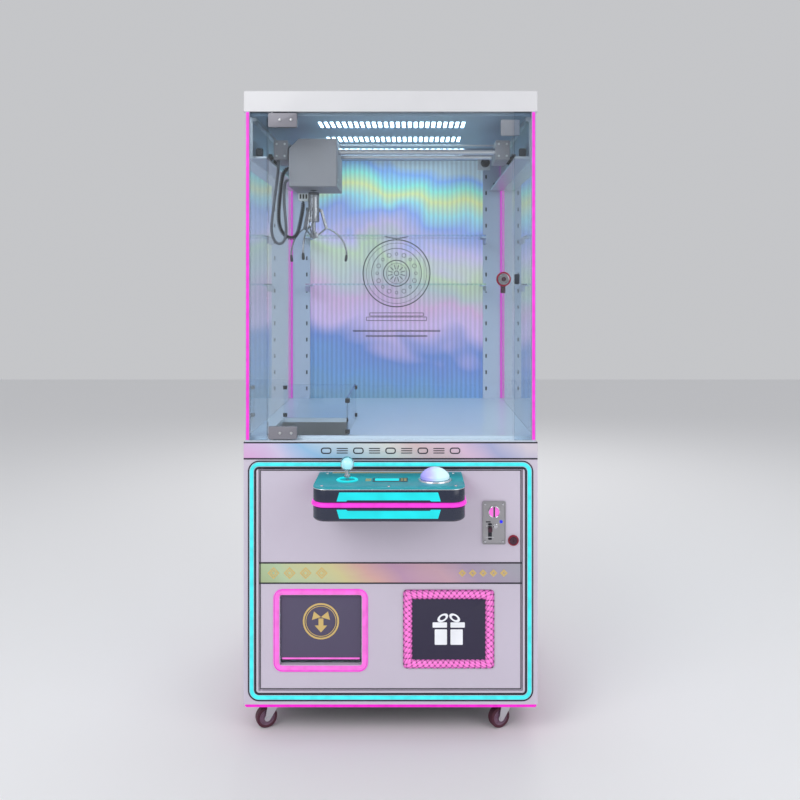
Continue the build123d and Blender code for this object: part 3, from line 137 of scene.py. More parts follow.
class Shape:
    """Points and faces gathered from surfaces, to become one mesh."""

    def __init__(self) -> None:
        """Start empty."""
        self.points: list[Array] = []
        self.faces: list[list[int]] = []
        self.finishes: list[int] = []
        self.count = 0

    def _take(self, points: Array, faces: list[list[int]], finish: int) -> "Shape":
        """Add points and the faces between them."""
        self.points.append(points.reshape(-1, 3))
        self.faces.extend([[i + self.count for i in face] for face in faces])
        self.finishes.extend([finish] * len(faces))
        self.count += self.points[-1].shape[0]
        return self

    def grid(
        self, surface: Array, close_u: bool = False, close_v: bool = True, caps: bool = True,
        finish: int = 0,
    ):
        """Add a surface of rows of points, with a four-sided face between each four neighbours.

        Args:
            surface: points of shape (rows, columns, 3).
            close_u: join the last row to the first.
            close_v: join the last column to the first.
            caps: close the first and last rows with one face each, where close_v holds.
            finish: number of the finish that these faces take.
        """
        rows, columns = surface.shape[:2]
        index = np.arange(rows * columns).reshape(rows, columns)
        if close_u:
            index = np.vstack([index, index[:1]])
        if close_v:
            index = np.hstack([index, index[:, :1]])
        quads = np.stack([index[:-1, :-1], index[:-1, 1:], index[1:, 1:], index[1:, :-1]], axis=-1)
        faces = quads.reshape(-1, 4).tolist()
        if caps and close_v and not close_u:
            faces.append(list(range(columns))[::-1])
            faces.append(list(range((rows - 1) * columns, rows * columns)))
        return self._take(surface, faces, finish)

    def slab(
        self, axis: Axis, low: Array, high: Array, radius: float = 0.0005, edge: float = 0.0005,
        finish: int = 0, steps: int = 5,
    ) -> "Shape":
        """A block with rounded corners in its section and rounded edges at both ends.

        The outline moves in by edge * (1 - sin t) while its height moves by edge * (1 - cos t), for t from 0 to
        a quarter turn at each end.
        """
        low, high = np.array(low, float), np.array(high, float)
        first, second, third = axis.value
        half = ((high[first] - low[first]) / 2, (high[second] - low[second]) / 2)
        centre = np.array([(high[first] + low[first]) / 2, (high[second] + low[second]) / 2])
        edge = min(edge, (high[third] - low[third]) / 2.01, half[0] * 0.98, half[1] * 0.98)
        turn = np.linspace(0, pi / 2, 4)
        insets = np.concatenate([edge * (1 - np.sin(turn)), edge * (1 - np.sin(turn))[::-1]])
        lifts = edge * (1 - np.cos(turn))
        heights = np.concatenate([low[third] + lifts, high[third] - lifts[::-1]])
        rings = [
            rounded_outline((half[0] - i, half[1] - i), max(radius - i, 1e-5), steps) + centre
            for i in insets
        ]
        surface = on_axis(axis, np.array(rings), np.repeat(heights[:, None], len(rings[0]), axis=1))
        return self.grid(surface, finish=finish)

    def turned(
        self, profile: Array, origin: Array, axis: Axis, steps: int = 40, finish: int = 0, sign: float = 1.0
    ):
        """A profile of (radius, height) turned about an axis through origin.

        Each point goes to radius * (cos, sin) of the turn, at sign * height along the axis.
        """
        profile = np.array(profile, float)
        ring = circle_outline(1.0, steps)
        across = profile[:, 0][:, None, None] * ring[None, :, :]
        along = np.repeat(sign * profile[:, 1][:, None], steps, axis=1)
        surface = on_axis(axis, across, along) + np.array(origin, float)
        closed = bool(np.allclose(profile[0], profile[-1]))
        if closed:
            surface = surface[:-1]
        return self.grid(surface, close_u=closed, caps=not closed, finish=finish)

    def tube(
        self, path: Array, radius: Array | float, reference: Array, sides: int = 12, closed: bool = False,
        finish: int = 0,
    ):
        """A round section carried along a path: each ring is a point plus radius * (cos side + sin up)."""
        path = np.array(path, float)
        _, side, up = frames_along(path, np.array(reference, float))
        ring = circle_outline(1.0, sides)
        radii = np.broadcast_to(np.asarray(radius, float), (len(path),))[:, None, None]
        surface = path[:, None, :] + radii * (
            ring[None, :, :1] * side[:, None, :] + ring[None, :, 1:] * up[:, None, :]
        )
        return self.grid(surface[:, ::-1], close_u=closed, caps=not closed, finish=finish)

    def outline_ring(
        self, axis: Axis, centre: Array, half: Pair, radius: float, section: Array,
        finish: int = 0, steps: int = 9,
    ):
        """A closed section carried round a rounded rectangle.

        The section's points are (inset, height): the outline moves in by the inset, at that height.
        """
        rings = [
            rounded_outline((half[0] - s[0], half[1] - s[0]), max(radius - s[0], 1e-4), steps)
            for s in section
        ]
        heights = np.array([s[1] for s in section])
        surface = on_axis(axis, np.array(rings), np.repeat(heights[:, None], len(rings[0]), axis=1))
        return self.grid(surface + np.array(centre, float), close_u=True, caps=False, finish=finish)

    def prism(self, axis: Axis, outline: Array, low: float, high: float, finish: int = 0) -> "Shape":
        """An outline stacked from low to high along an axis, closed at both ends."""
        outline = np.array(outline, float)
        surface = on_axis(
            axis, np.stack([outline, outline]), np.repeat([[low], [high]], len(outline), axis=1)
        )
        return self.grid(surface, finish=finish)

    def moved(self, matrix: Array, shift: Array) -> "Shape":
        """Turn and shift every point gathered so far."""
        self.points = [p @ np.array(matrix, float).T + np.array(shift, float) for p in self.points]
        return self

    def join(self, other: "Shape") -> "Shape":
        """Take over another shape's points and faces."""
        self.points.extend(other.points)
        self.faces.extend([[i + self.count for i in face] for face in other.faces])
        self.finishes.extend(other.finishes)
        self.count += other.count
        return self


def about_z(turn: float) -> Array:
    """The matrix of a turn about +Z."""
    a = radians(turn)
    return np.array([[cos(a), -sin(a), 0], [sin(a), cos(a), 0], [0, 0, 1]])


# ------------------------------------------------------------------ materials
class Pattern(Enum):
    """What varies over a surface."""

    COAT = "orange peel of a powder coat"
    LAMINATE = "fine satin laminate"
    BRUSHED = "long streaks of a brush"
    CAST = "tumbled casting"
    RUBBER = "scuffed rubber"
    POLISH = "polish with faint smears"


PATTERN_SIZES = {
    Pattern.COAT: (900.0, (1, 1, 1), 0.035, 0.10),
    Pattern.LAMINATE: (1400.0, (1, 1, 1), 0.02, 0.07),
    Pattern.BRUSHED: (600.0, (1, 18, 1), 0.03, 0.22),
    Pattern.CAST: (420.0, (1, 1, 1), 0.12, 0.25),
    Pattern.RUBBER: (700.0, (1, 1, 1), 0.16, 0.30),
    Pattern.POLISH: (60.0, (1, 1, 1), 0.006, 0.08),
}


def group_sockets(name: str, inputs: dict[str, object], outputs: tuple[str, ...]) -> tuple:
    """Start a node group with named inputs and outputs.

    Args:
        name: the group's name.
        inputs: default value by name: a number, a vector of three or a colour of four.
        outputs: names. Colour is a colour and the others are numbers.

    Returns:
        The tree, its input node and its output node.
    """
    tree = bpy.data.node_groups.new(name, "ShaderNodeTree")
    for socket, default in inputs.items():
        size = len(default) if isinstance(default, tuple) else 1
        kind = {1: "NodeSocketFloat", 3: "NodeSocketVector", 4: "NodeSocketColor"}[size]
        tree.interface.new_socket(socket, in_out="INPUT", socket_type=kind).default_value = default
    for socket in outputs:
        kind = "NodeSocketColor" if socket == "Colour" else "NodeSocketFloat"
        tree.interface.new_socket(socket, in_out="OUTPUT", socket_type=kind)
    return tree, tree.nodes.new("NodeGroupInput"), tree.nodes.new("NodeGroupOutput")


def node(tree, kind: str, **values):
    """Make a node, setting its properties and its inputs by name or number."""
    made = tree.nodes.new(kind)
    for key, value in values.items():
        if key.startswith("i_"):
            made.inputs[
                int(key[2:]) if key[2:].isdigit() else key[2:].replace("_", " ")
            ].default_value = value
        else:
            setattr(made, key, value)
    return made


def calc(tree, operation: str, *terms, kind: str = "Math", clamp: bool = False):
    """A math node fed by terms, each a number, a vector or another node's output.

    Args:
        tree: the node tree.
        operation: what the node works out.
        terms: what goes into its inputs, in order.
        kind: Math or VectorMath.
        clamp: keep the result between 0 and 1.

    Returns:
        The output socket that holds the result.
    """
    made = tree.nodes.new(f"ShaderNode{kind}")
    made.operation = operation
    if clamp:
        made.use_clamp = True
    sockets = (made.inputs["Vector"], made.inputs["Scale"]) if operation == "SCALE" else made.inputs
    for socket, term in zip(sockets, terms):
        if isinstance(term, bpy.types.NodeSocket):
            tree.links.new(term, socket)
        else:
            socket.default_value = term
    return made.outputs["Value" if operation == "DOT_PRODUCT" else 0]


def noise_at(tree, place, **values):
    """The value of a noise at a place."""
    made = node(tree, "ShaderNodeTexNoise", **values)
    tree.links.new(place, made.inputs["Vector"])
    return made


def grain_group():
    """Node group: a stretched noise as height, a roughness and a slightly varied colour."""
    tree, inside, outside = group_sockets(
        "surface_grain",
        {
            "Colour": (0.8, 0.8, 0.8, 1),
            "Scale": 500.0,
            "Stretch": (1, 1, 1),
            "Roughness": 0.4,
            "Spread": 0.1,
            "Tint": 0.05,
        },
        ("Colour", "Roughness", "Height"),
    )
    link, given = tree.links.new, inside.outputs
    place = node(tree, "ShaderNodeTexCoord").outputs["Object"]
    fine = noise_at(tree, calc(tree, "MULTIPLY", place, given["Stretch"], kind="VectorMath"), i_Detail=3.0)
    link(given["Scale"], fine.inputs["Scale"])
    centred = calc(tree, "SUBTRACT", noise_at(tree, place, i_Scale=9.0, i_Detail=4.0).outputs["Fac"], 0.5)
    spread = calc(tree, "MULTIPLY_ADD", centred, given["Spread"], given["Roughness"])
    rough = calc(tree, "MULTIPLY_ADD", fine.outputs["Fac"], 0.12, spread, clamp=True)
    bright = calc(tree, "ADD", calc(tree, "MULTIPLY", centred, given["Tint"]), 1.0)
    link(calc(tree, "SCALE", given["Colour"], bright, kind="VectorMath"), outside.inputs["Colour"])
    link(rough, outside.inputs["Roughness"])
    link(fine.outputs["Fac"], outside.inputs["Height"])
    return tree


def dust_group():
    """Node group: a grey film that settles on faces that look up and in broad patches."""
    tree, inside, outside = group_sockets(
        "settled_dust",
        {"Colour": (0.8, 0.8, 0.8, 1), "Roughness": 0.4, "Amount": 0.2},
        ("Colour", "Roughness"),
    )
    link, given = tree.links.new, inside.outputs
    parts = node(tree, "ShaderNodeSeparateXYZ")
    link(node(tree, "ShaderNodeNewGeometry").outputs["Normal"], parts.inputs[0])
    up = node(tree, "ShaderNodeMapRange", i_1=0.2, i_2=1.0)
    link(parts.outputs["Z"], up.inputs[0])
    patches = noise_at(tree, node(tree, "ShaderNodeTexCoord").outputs["Object"], i_Scale=24.0, i_Detail=5.0)
    share = calc(tree, "MULTIPLY", up.outputs[0], patches.outputs["Fac"])
    amount = calc(tree, "MULTIPLY", share, given["Amount"], clamp=True)
    mix = node(tree, "ShaderNodeMix", data_type="RGBA")
    mix.inputs[7].default_value = (0.52, 0.5, 0.5, 1)
    rough = node(tree, "ShaderNodeMix", data_type="FLOAT")
    rough.inputs[3].default_value = 0.9
    link(amount, mix.inputs[0])
    link(given["Colour"], mix.inputs[6])
    link(amount, rough.inputs[0])
    link(given["Roughness"], rough.inputs[2])
    link(mix.outputs[2], outside.inputs["Colour"])
    link(rough.outputs[0], outside.inputs["Roughness"])
    return tree


def drift_group():
    """Node group: a place along a direction, bent by a noise, with fine streaks across it."""
    tree, inside, outside = group_sockets(
        "film_drift",
        {
            "Direction": (1, 0, 0),
            "Offset": 0.5,
            "Scale": 3.0,
            "Stretch": (1, 1, 1),
            "Bend": 0.3,
            "Streaks": 0.0,
        },
        ("Place", "Shade"),
    )
    link, given = tree.links.new, inside.outputs
    place = node(tree, "ShaderNodeTexCoord").outputs["Object"]
    along = calc(tree, "DOT_PRODUCT", place, given["Direction"], kind="VectorMath")
    stretched = calc(tree, "MULTIPLY", place, given["Stretch"], kind="VectorMath")
    warp = noise_at(tree, stretched, i_Detail=2.0, i_Distortion=0.8)
    link(given["Scale"], warp.inputs["Scale"])
    bend = calc(
        tree, "MULTIPLY_ADD", calc(tree, "SUBTRACT", warp.outputs["Fac"], 0.5), given["Bend"], along
    )
    waves = node(
        tree, "ShaderNodeTexWave", bands_direction="X", i_Scale=17.5, i_Distortion=0.6, i_Detail=1.0
    )
    link(place, waves.inputs["Vector"])
    top = calc(tree, "SUBTRACT", 1.0, given["Streaks"])
    shade = calc(tree, "MULTIPLY_ADD", waves.outputs["Fac"], given["Streaks"], top, clamp=True)
    link(calc(tree, "ADD", bend, given["Offset"]), outside.inputs["Place"])
    link(shade, outside.inputs["Shade"])
    return tree


GROUPS = {"grain": grain_group(), "dust": dust_group(), "drift": drift_group()}


def use_group(tree, name: str, **values):
    """Place a shared group in a material, with its own values."""
    made = tree.nodes.new("ShaderNodeGroup")
    made.node_tree = GROUPS[name]
    for key, value in values.items():
        made.inputs[key].default_value = value
    return made


@dataclass(frozen=True)
class Surface:
    """A named material, made once."""

    name: str

    def build(self) -> bpy.types.Material:
        """Make the material, or return the one made before."""
        material = bpy.data.materials.get(self.name)
        if material is None:
            material = bpy.data.materials.new(self.name)
            material.use_nodes = True
            self.paint(material.node_tree, material.node_tree.nodes["Principled BSDF"])
        return material

    def paint(self, tree: bpy.types.NodeTree, shader: bpy.types.Node) -> None:
        """Wire the tree. Each kind of surface has its own."""
        raise NotImplementedError


@dataclass(frozen=True)
class Finish(Surface):
    """A solid finish with grain, polish and a little settled dust."""

    colour: Triple
    roughness: float = 0.4
    metallic: float = 0.0
    pattern: Pattern = Pattern.COAT
    coat: float = 0.0
    dust: float = 0.12
    transmission: float = 0.0
    bump: float = 1.0

    def paint(self, tree: bpy.types.NodeTree, shader: bpy.types.Node) -> None:
        """Wire the tree."""
        scale, stretch, height, spread = PATTERN_SIZES[self.pattern]
        grain = use_group(
            tree, "grain", Colour=(*self.colour, 1), Scale=scale, Stretch=stretch, Roughness=self.roughness,
            Spread=spread, Tint=0.08,
        )
        dust = use_group(tree, "dust", Amount=self.dust)
        bump = node(tree, "ShaderNodeBump", i_Strength=min(1.0, height * 6 * self.bump), i_Distance=0.0004)
        link = tree.links.new
        link(grain.outputs["Colour"], dust.inputs["Colour"])
        link(grain.outputs["Roughness"], dust.inputs["Roughness"])
        link(dust.outputs["Colour"], shader.inputs["Base Color"])
        link(dust.outputs["Roughness"], shader.inputs["Roughness"])
        link(grain.outputs["Height"], bump.inputs["Height"])
        link(bump.outputs[0], shader.inputs["Normal"])
        shader.inputs["Metallic"].default_value = self.metallic
        shader.inputs["Coat Weight"].default_value = self.coat
        shader.inputs["Coat Roughness"].default_value = 0.06
        shader.inputs["Transmission Weight"].default_value = self.transmission


@dataclass(frozen=True)
class Glow(Surface):
    """A lit diffuser: a glowing colour that is brightest over its lamps."""

    colour: Triple
    strength: float
    lamp_scale: float = 45.0
    body: Triple = (0.8, 0.8, 0.8)

    def paint(self, tree: bpy.types.NodeTree, shader: bpy.types.Node) -> None:
        """Wire the tree."""
        place = node(tree, "ShaderNodeTexCoord")
        spots = node(tree, "ShaderNodeTexNoise", i_Scale=self.lamp_scale, i_Detail=1.0)
        level = node(tree, "ShaderNodeMapRange", i_1=0.3, i_2=0.7, i_3=0.88, i_4=1.1)
        glow = node(tree, "ShaderNodeVectorMath", operation="SCALE")
        glow.inputs[0].default_value = self.colour
        link = tree.links.new
        link(place.outputs["Object"], spots.inputs["Vector"])
        link(spots.outputs["Fac"], level.inputs[0])
        link(level.outputs[0], glow.inputs["Scale"])
        link(glow.outputs[0], shader.inputs["Emission Color"])
        grain = use_group(
            tree, "grain", Colour=(*self.body, 1), Scale=300.0, Roughness=0.3, Spread=0.1, Tint=0.05
        )
        link(grain.outputs["Colour"], shader.inputs["Base Color"])
        link(grain.outputs["Roughness"], shader.inputs["Roughness"])
        shader.inputs["Emission Strength"].default_value = self.strength


@dataclass(frozen=True)
class Pane(Surface):
    """Clear sheet that lets the lamps through, with faint smears in its polish."""

    colour: Triple = (0.93, 0.97, 0.98)
    roughness: float = 0.01
    ior: float = 1.45

    def paint(self, tree: bpy.types.NodeTree, shader: bpy.types.Node) -> None:
        """Wire the tree."""
        place = node(tree, "ShaderNodeTexCoord")
        smears = node(tree, "ShaderNodeTexNoise", i_Scale=7.0, i_Detail=4.0)
        rough = node(
            tree, "ShaderNodeMapRange", i_1=0.45, i_2=0.8, i_3=self.roughness, i_4=self.roughness + 0.03
        )
        clear = node(tree, "ShaderNodeBsdfTransparent")
        clear.inputs[0].default_value = (*self.colour, 1)
        ray = node(tree, "ShaderNodeLightPath")
        mix = node(tree, "ShaderNodeMixShader")
        link = tree.links.new
        link(place.outputs["Object"], smears.inputs["Vector"])
        link(smears.outputs["Fac"], rough.inputs[0])
        link(rough.outputs[0], shader.inputs["Roughness"])
        shader.inputs["Base Color"].default_value = (*self.colour, 1)
        shader.inputs["Transmission Weight"].default_value = 1.0
        shader.inputs["IOR"].default_value = self.ior
        link(ray.outputs["Is Shadow Ray"], mix.inputs[0])
        link(shader.outputs[0], mix.inputs[1])
        link(clear.outputs[0], mix.inputs[2])
        link(mix.outputs[0], tree.nodes["Material Output"].inputs["Surface"])


@dataclass(frozen=True)
class Film(Surface):
    """Rainbow film on a board: a row of colours along a direction, bent by noise and crossed by streaks."""

    stops: tuple
    direction: Triple
    offset: float
    scale: float = 3.0
    stretch: Triple = (1, 1, 1)
    bend: float = 0.3
    streaks: float = 0.0
    metallic: float = 0.4
    roughness: float = 0.3
    glow: float = 0.0

    def paint(self, tree: bpy.types.NodeTree, shader: bpy.types.Node) -> None:
        """Wire the tree."""
        drift = use_group(
            tree,
            "drift",
            Direction=self.direction,
            Offset=self.offset,
            Scale=self.scale,
            Stretch=self.stretch,
            Bend=self.bend,
            Streaks=self.streaks,
        )
        ramp = node(tree, "ShaderNodeValToRGB")
        while len(ramp.color_ramp.elements) < len(self.stops):
            ramp.color_ramp.elements.new(0.5)
        for element, (position, colour) in zip(ramp.color_ramp.elements, self.stops):
            element.position = position
            element.color = (*colour, 1)
        shade = node(tree, "ShaderNodeVectorMath", operation="SCALE")
        grain = use_group(tree, "grain", Scale=240.0, Roughness=self.roughness, Spread=0.12, Tint=0.06)
        link = tree.links.new
        link(drift.outputs["Place"], ramp.inputs[0])
        link(ramp.outputs[0], shade.inputs[0])
        link(drift.outputs["Shade"], shade.inputs["Scale"])
        link(shade.outputs[0], grain.inputs["Colour"])
        link(grain.outputs["Colour"], shader.inputs["Base Color"])
        link(grain.outputs["Roughness"], shader.inputs["Roughness"])
        # A glow above zero makes the film emit its colour: a lamp in the lit button, a painted glow on the back
        # film.
        if self.glow:
            link(grain.outputs["Colour"], shader.inputs["Emission Color"])
            shader.inputs["Emission Strength"].default_value = self.glow
        shader.inputs["Metallic"].default_value = self.metallic


@dataclass(frozen=True)
class Quilt(Surface):
    """Glossy padding with painted shade in its seams and a painted glow: the height over the door, read from
    the piece's own depth, darkens the colour towards the seams, and the padding emits that colour though it
    holds no lamp.
    """

    seam_y: float
    crown_y: float
    colour: Triple = (0.80, 0.16, 0.56)

    def paint(self, tree: bpy.types.NodeTree, shader: bpy.types.Node) -> None:
        """Wire the tree."""
        place = node(tree, "ShaderNodeTexCoord")
        parts = node(tree, "ShaderNodeSeparateXYZ")
        depth = node(tree, "ShaderNodeMapRange", i_1=self.seam_y, i_2=self.crown_y)
        ramp = node(tree, "ShaderNodeValToRGB")
        # Painted shade: the dark colour where the padding sinks into its seams.
        ramp.color_ramp.elements[0].color = (0.22, 0.01, 0.16, 1)
        ramp.color_ramp.elements[0].position = 0.10
        ramp.color_ramp.elements[1].color = (*self.colour, 1)
        ramp.color_ramp.elements[1].position = 0.85
        grain = use_group(tree, "grain", Scale=380.0, Roughness=0.2, Spread=0.1, Tint=0.25)
        link = tree.links.new
        link(place.outputs["Object"], parts.inputs[0])
        link(parts.outputs["Y"], depth.inputs[0])
        link(depth.outputs[0], ramp.inputs[0])
        link(ramp.outputs[0], grain.inputs["Colour"])
        link(grain.outputs["Colour"], shader.inputs["Base Color"])
        link(grain.outputs["Colour"], shader.inputs["Emission Color"])
        link(grain.outputs["Roughness"], shader.inputs["Roughness"])
        # Painted glow: the padding emits its own colour though it holds no lamp.
        shader.inputs["Emission Strength"].default_value = 0.45
        shader.inputs["Coat Weight"].default_value = 0.6


LAVENDER = Finish(
    "lavender_laminate", (0.65, 0.59, 0.70), 0.34, pattern=Pattern.LAMINATE, coat=0.25, dust=0.03
)
WHITE_COAT = Finish("white_powder_coat", (0.70, 0.70, 0.72), 0.38, coat=0.15, dust=0.04)
DECK_WHITE = Finish(
    "deck_laminate", (0.64, 0.72, 0.82), 0.28, pattern=Pattern.LAMINATE, coat=0.4, dust=0.04
)
COLUMN_WHITE = Finish("column_coat", (0.48, 0.52, 0.64), 0.38, dust=0.03)
GREY_COAT = Finish("grey_powder_coat", (0.26, 0.255, 0.285), 0.42, dust=0.06)
DARK_COAT = Finish("dark_powder_coat", (0.05, 0.05, 0.06), 0.5, dust=0.2)
CEILING = Finish("ceiling_coat", (0.32, 0.43, 0.56), 0.34, dust=0.0)
ZINC = Finish("zinc_plate", (0.62, 0.63, 0.65), 0.34, 1.0, Pattern.BRUSHED, dust=0.15)
SATIN = Finish("satin_aluminium", (0.66, 0.66, 0.68), 0.3, 1.0, Pattern.BRUSHED, dust=0.05)
FITTING = Finish("fitting_grey", (0.26, 0.255, 0.29), 0.42, 0.4, Pattern.BRUSHED, dust=0.02)
CHROME = Finish("bright_chrome", (0.58, 0.58, 0.61), 0.14, 1.0, Pattern.POLISH, dust=0.02, bump=0.4)
PLUG = Finish("lock_plug", (0.10, 0.05, 0.07), 0.24, 0.9, Pattern.BRUSHED, dust=0.04)
CLAW_CHROME = Finish("claw_chrome", (0.34, 0.34, 0.37), 0.16, 1.0, Pattern.POLISH, dust=0.03, bump=0.4)
CAST = Finish("tumbled_casting", (0.42, 0.41, 0.43), 0.36, 1.0, Pattern.CAST, dust=0.08)
BLACK = Finish("black_moulding", (0.025, 0.025, 0.03), 0.42, pattern=Pattern.LAMINATE, dust=0.1)
NAVY = Finish("navy_moulding", (0.012, 0.018, 0.045), 0.22, pattern=Pattern.LAMINATE, coat=0.25, dust=0.02)
TEAL = Finish("teal_acrylic", (0.008, 0.20, 0.23), 0.12, pattern=Pattern.POLISH, coat=0.8, dust=0.02)
GOLD = Finish("gold_print", (0.80, 0.58, 0.22), 0.30, 0.6, Pattern.POLISH, dust=0.02)
# Dark finish for printed lines, also laid on as painted shade in the neon grooves, the coin slot, the slit and
# the return pocket.
INK_AND_PAINTED_SHADE = Finish("ink_and_painted_shade", (0.008, 0.007, 0.018), 0.4, pattern=Pattern.LAMINATE, dust=0.0)
SILVER_LINE = Finish("silver_line", (0.75, 0.78, 0.82), 0.2, 0.9, Pattern.POLISH, dust=0.02)
FLAP = Finish("tinted_flap", (0.085, 0.070, 0.135), 0.25, pattern=Pattern.POLISH, coat=0.25, dust=0.03)
WINDOW = Finish("dark_window", (0.016, 0.010, 0.045), 0.16, pattern=Pattern.POLISH, coat=0.3, dust=0.0)
RED = Finish("red_anodised", (0.36, 0.03, 0.06), 0.3, 0.6, Pattern.BRUSHED, dust=0.05)
TYRE = Finish("wine_tyre", (0.075, 0.010, 0.028), 0.42, pattern=Pattern.RUBBER, dust=0.12)
HUB = Finish("hub_moulding", (0.20, 0.11, 0.17), 0.35, pattern=Pattern.LAMINATE, dust=0.08)
CORD_BLACK = Finish("black_cord_jacket", (0.006, 0.007, 0.012), 0.35, pattern=Pattern.RUBBER, dust=0.02)
HOSE_GREY = Finish("grey_hose_sheath", (0.12, 0.125, 0.15), 0.42, pattern=Pattern.RUBBER, dust=0.03)
BRAID = Finish("braided_line", (0.07, 0.07, 0.075), 0.7, pattern=Pattern.RUBBER, dust=0.0)
BOARD = Finish("circuit_board", (0.02, 0.16, 0.06), 0.3, pattern=Pattern.LAMINATE, coat=0.4)
NYLON = Finish("white_connector", (0.78, 0.80, 0.82), 0.35, pattern=Pattern.LAMINATE, dust=0.04)
RED_ROCKER = Finish("red_rocker", (0.55, 0.02, 0.02), 0.25, pattern=Pattern.POLISH, coat=0.4)
CYAN_GLOW = Glow("cyan_glow", (0.06, 0.80, 0.84), 1.0, body=(0.0, 0.12, 0.13))
CYAN_PANEL = Glow("cyan_panel", (0.0, 0.74, 0.80), 0.95, 20.0, (0.0, 0.12, 0.13))
PINK_GLOW = Glow("pink_glow", (0.80, 0.035, 0.62), 1.0, body=(0.20, 0.01, 0.14))
PALE_PINK = Glow("pale_pink_glow", (0.84, 0.14, 0.66), 1.0, body=(0.16, 0.04, 0.12))
SKIRT_GLOW = Glow("skirt_glow", (0.84, 0.006, 0.60), 1.0, body=(0.16, 0.0, 0.10))
BALL_GLOW = Glow("ball_glow", (0.42, 0.80, 0.88), 0.8, 40.0, (0.3, 0.4, 0.42))
WHITE_GLOW = Glow("lamp_glow", (0.62, 0.88, 1.0), 7.5, 30.0)
BLUE_LED = Glow("blue_led", (0.02, 0.02, 1.0), 1.0, body=(0.0, 0.0, 0.2))
SIGN_WHITE = Glow("sign_white", (0.80, 0.84, 0.92), 0.55, 20.0, (0.5, 0.5, 0.52))
REAR_PINK = Glow("rear_pink_glow", (0.60, 0.05, 0.58), 0.8, 900.0, (0.2, 0.02, 0.15))
DOOR_PANE = Pane("door_pane")
GREEN_PANE = Pane("side_pane", (0.78, 0.86, 0.92))
SHELF_PANE = Pane("shelf_pane", (0.80, 0.93, 0.95))
ACRYLIC = Pane("guard_acrylic", (0.88, 0.93, 0.98), 0.02, 1.49)
BALL_CLEAR = Pane("ball_acrylic", (0.80, 0.97, 1.0), 0.03, 1.49)
# The yellow, cyan and blue stops from 0.86 to 0.96 fall near the board's top and paint a reflection of the
# ceiling lamps over the film's own colours.
BACK_STOPS_AND_PAINTED_REFLECTION = (
    (0.00, (0.18, 0.32, 0.46)),
    (0.08, (0.16, 0.30, 0.56)),
    (0.20, (0.16, 0.25, 0.56)),
    (0.32, (0.60, 0.44, 0.70)),
    (0.42, (0.66, 0.42, 0.62)),
    (0.50, (0.54, 0.56, 0.56)),
    (0.58, (0.60, 0.66, 0.48)),
    (0.66, (0.66, 0.54, 0.78)),
    (0.74, (0.34, 0.44, 0.84)),
    (0.80, (0.42, 0.76, 0.80)),
    (0.86, (0.80, 0.84, 0.40)),
    (0.91, (0.36, 0.84, 0.70)),
    (0.96, (0.28, 0.48, 0.86)),
    (1.00, (0.50, 0.62, 0.70)),
)
HEADER_STOPS = (
    (0.00, (0.78, 0.42, 0.74)),
    (0.12, (0.70, 0.62, 0.84)),
    (0.26, (0.34, 0.58, 0.84)),
    (0.36, (0.66, 0.76, 0.84)),
    (0.50, (0.86, 0.84, 0.80)),
    (0.62, (0.84, 0.62, 0.62)),
    (0.74, (0.82, 0.58, 0.76)),
    (0.86, (0.44, 0.46, 0.70)),
    (1.00, (0.72, 0.66, 0.74)),
)
DOOR_STOPS = (
    (0.00, (0.42, 0.50, 0.26)),
    (0.14, (0.52, 0.66, 0.42)),
    (0.30, (0.72, 0.66, 0.34)),
    (0.42, (0.76, 0.46, 0.42)),
    (0.54, (0.60, 0.36, 0.52)),
    (0.68, (0.66, 0.42, 0.50)),
    (0.80, (0.46, 0.36, 0.50)),
    (1.00, (0.42, 0.41, 0.47)),
)
BUTTON_STOPS = (
    (0.00, (0.30, 0.26, 0.76)),
    (0.30, (0.46, 0.42, 0.88)),
    (0.60, (0.60, 0.84, 0.94)),
    (1.00, (0.68, 0.88, 0.94)),
)
# The last value gives the back film a painted glow: the board emits its own colour though it holds no lamp.
BACK_FILM = Film(
    "back_film", BACK_STOPS_AND_PAINTED_REFLECTION, (0.22, 0, 1.02), -0.86, 3.2, (1.0, 1.0, 0.9), 0.40, 0.22, 0.25, 0.35, 0.34
)
HEADER_FILM = Film(
    "header_film", HEADER_STOPS, (1.15, 0, 1.6), -0.80, 5.0, (1.0, 1.0, 0.5), 0.16, 0.0, 0.15, 0.3
)
BUTTON_MILK = Film(
    "lit_button", BUTTON_STOPS, (12.0, 0, 0), -1.0, 20.0, (1.0, 1.0, 1.0), 0.15, 0.0, 0.0, 0.15, 0.35
)
DOOR_FILM = Film("door_film", DOOR_STOPS, (1.25, 0, 1.2), -0.06, 5.0, (1.0, 1.0, 0.5), 0.18, 0.0, 0.15, 0.3)


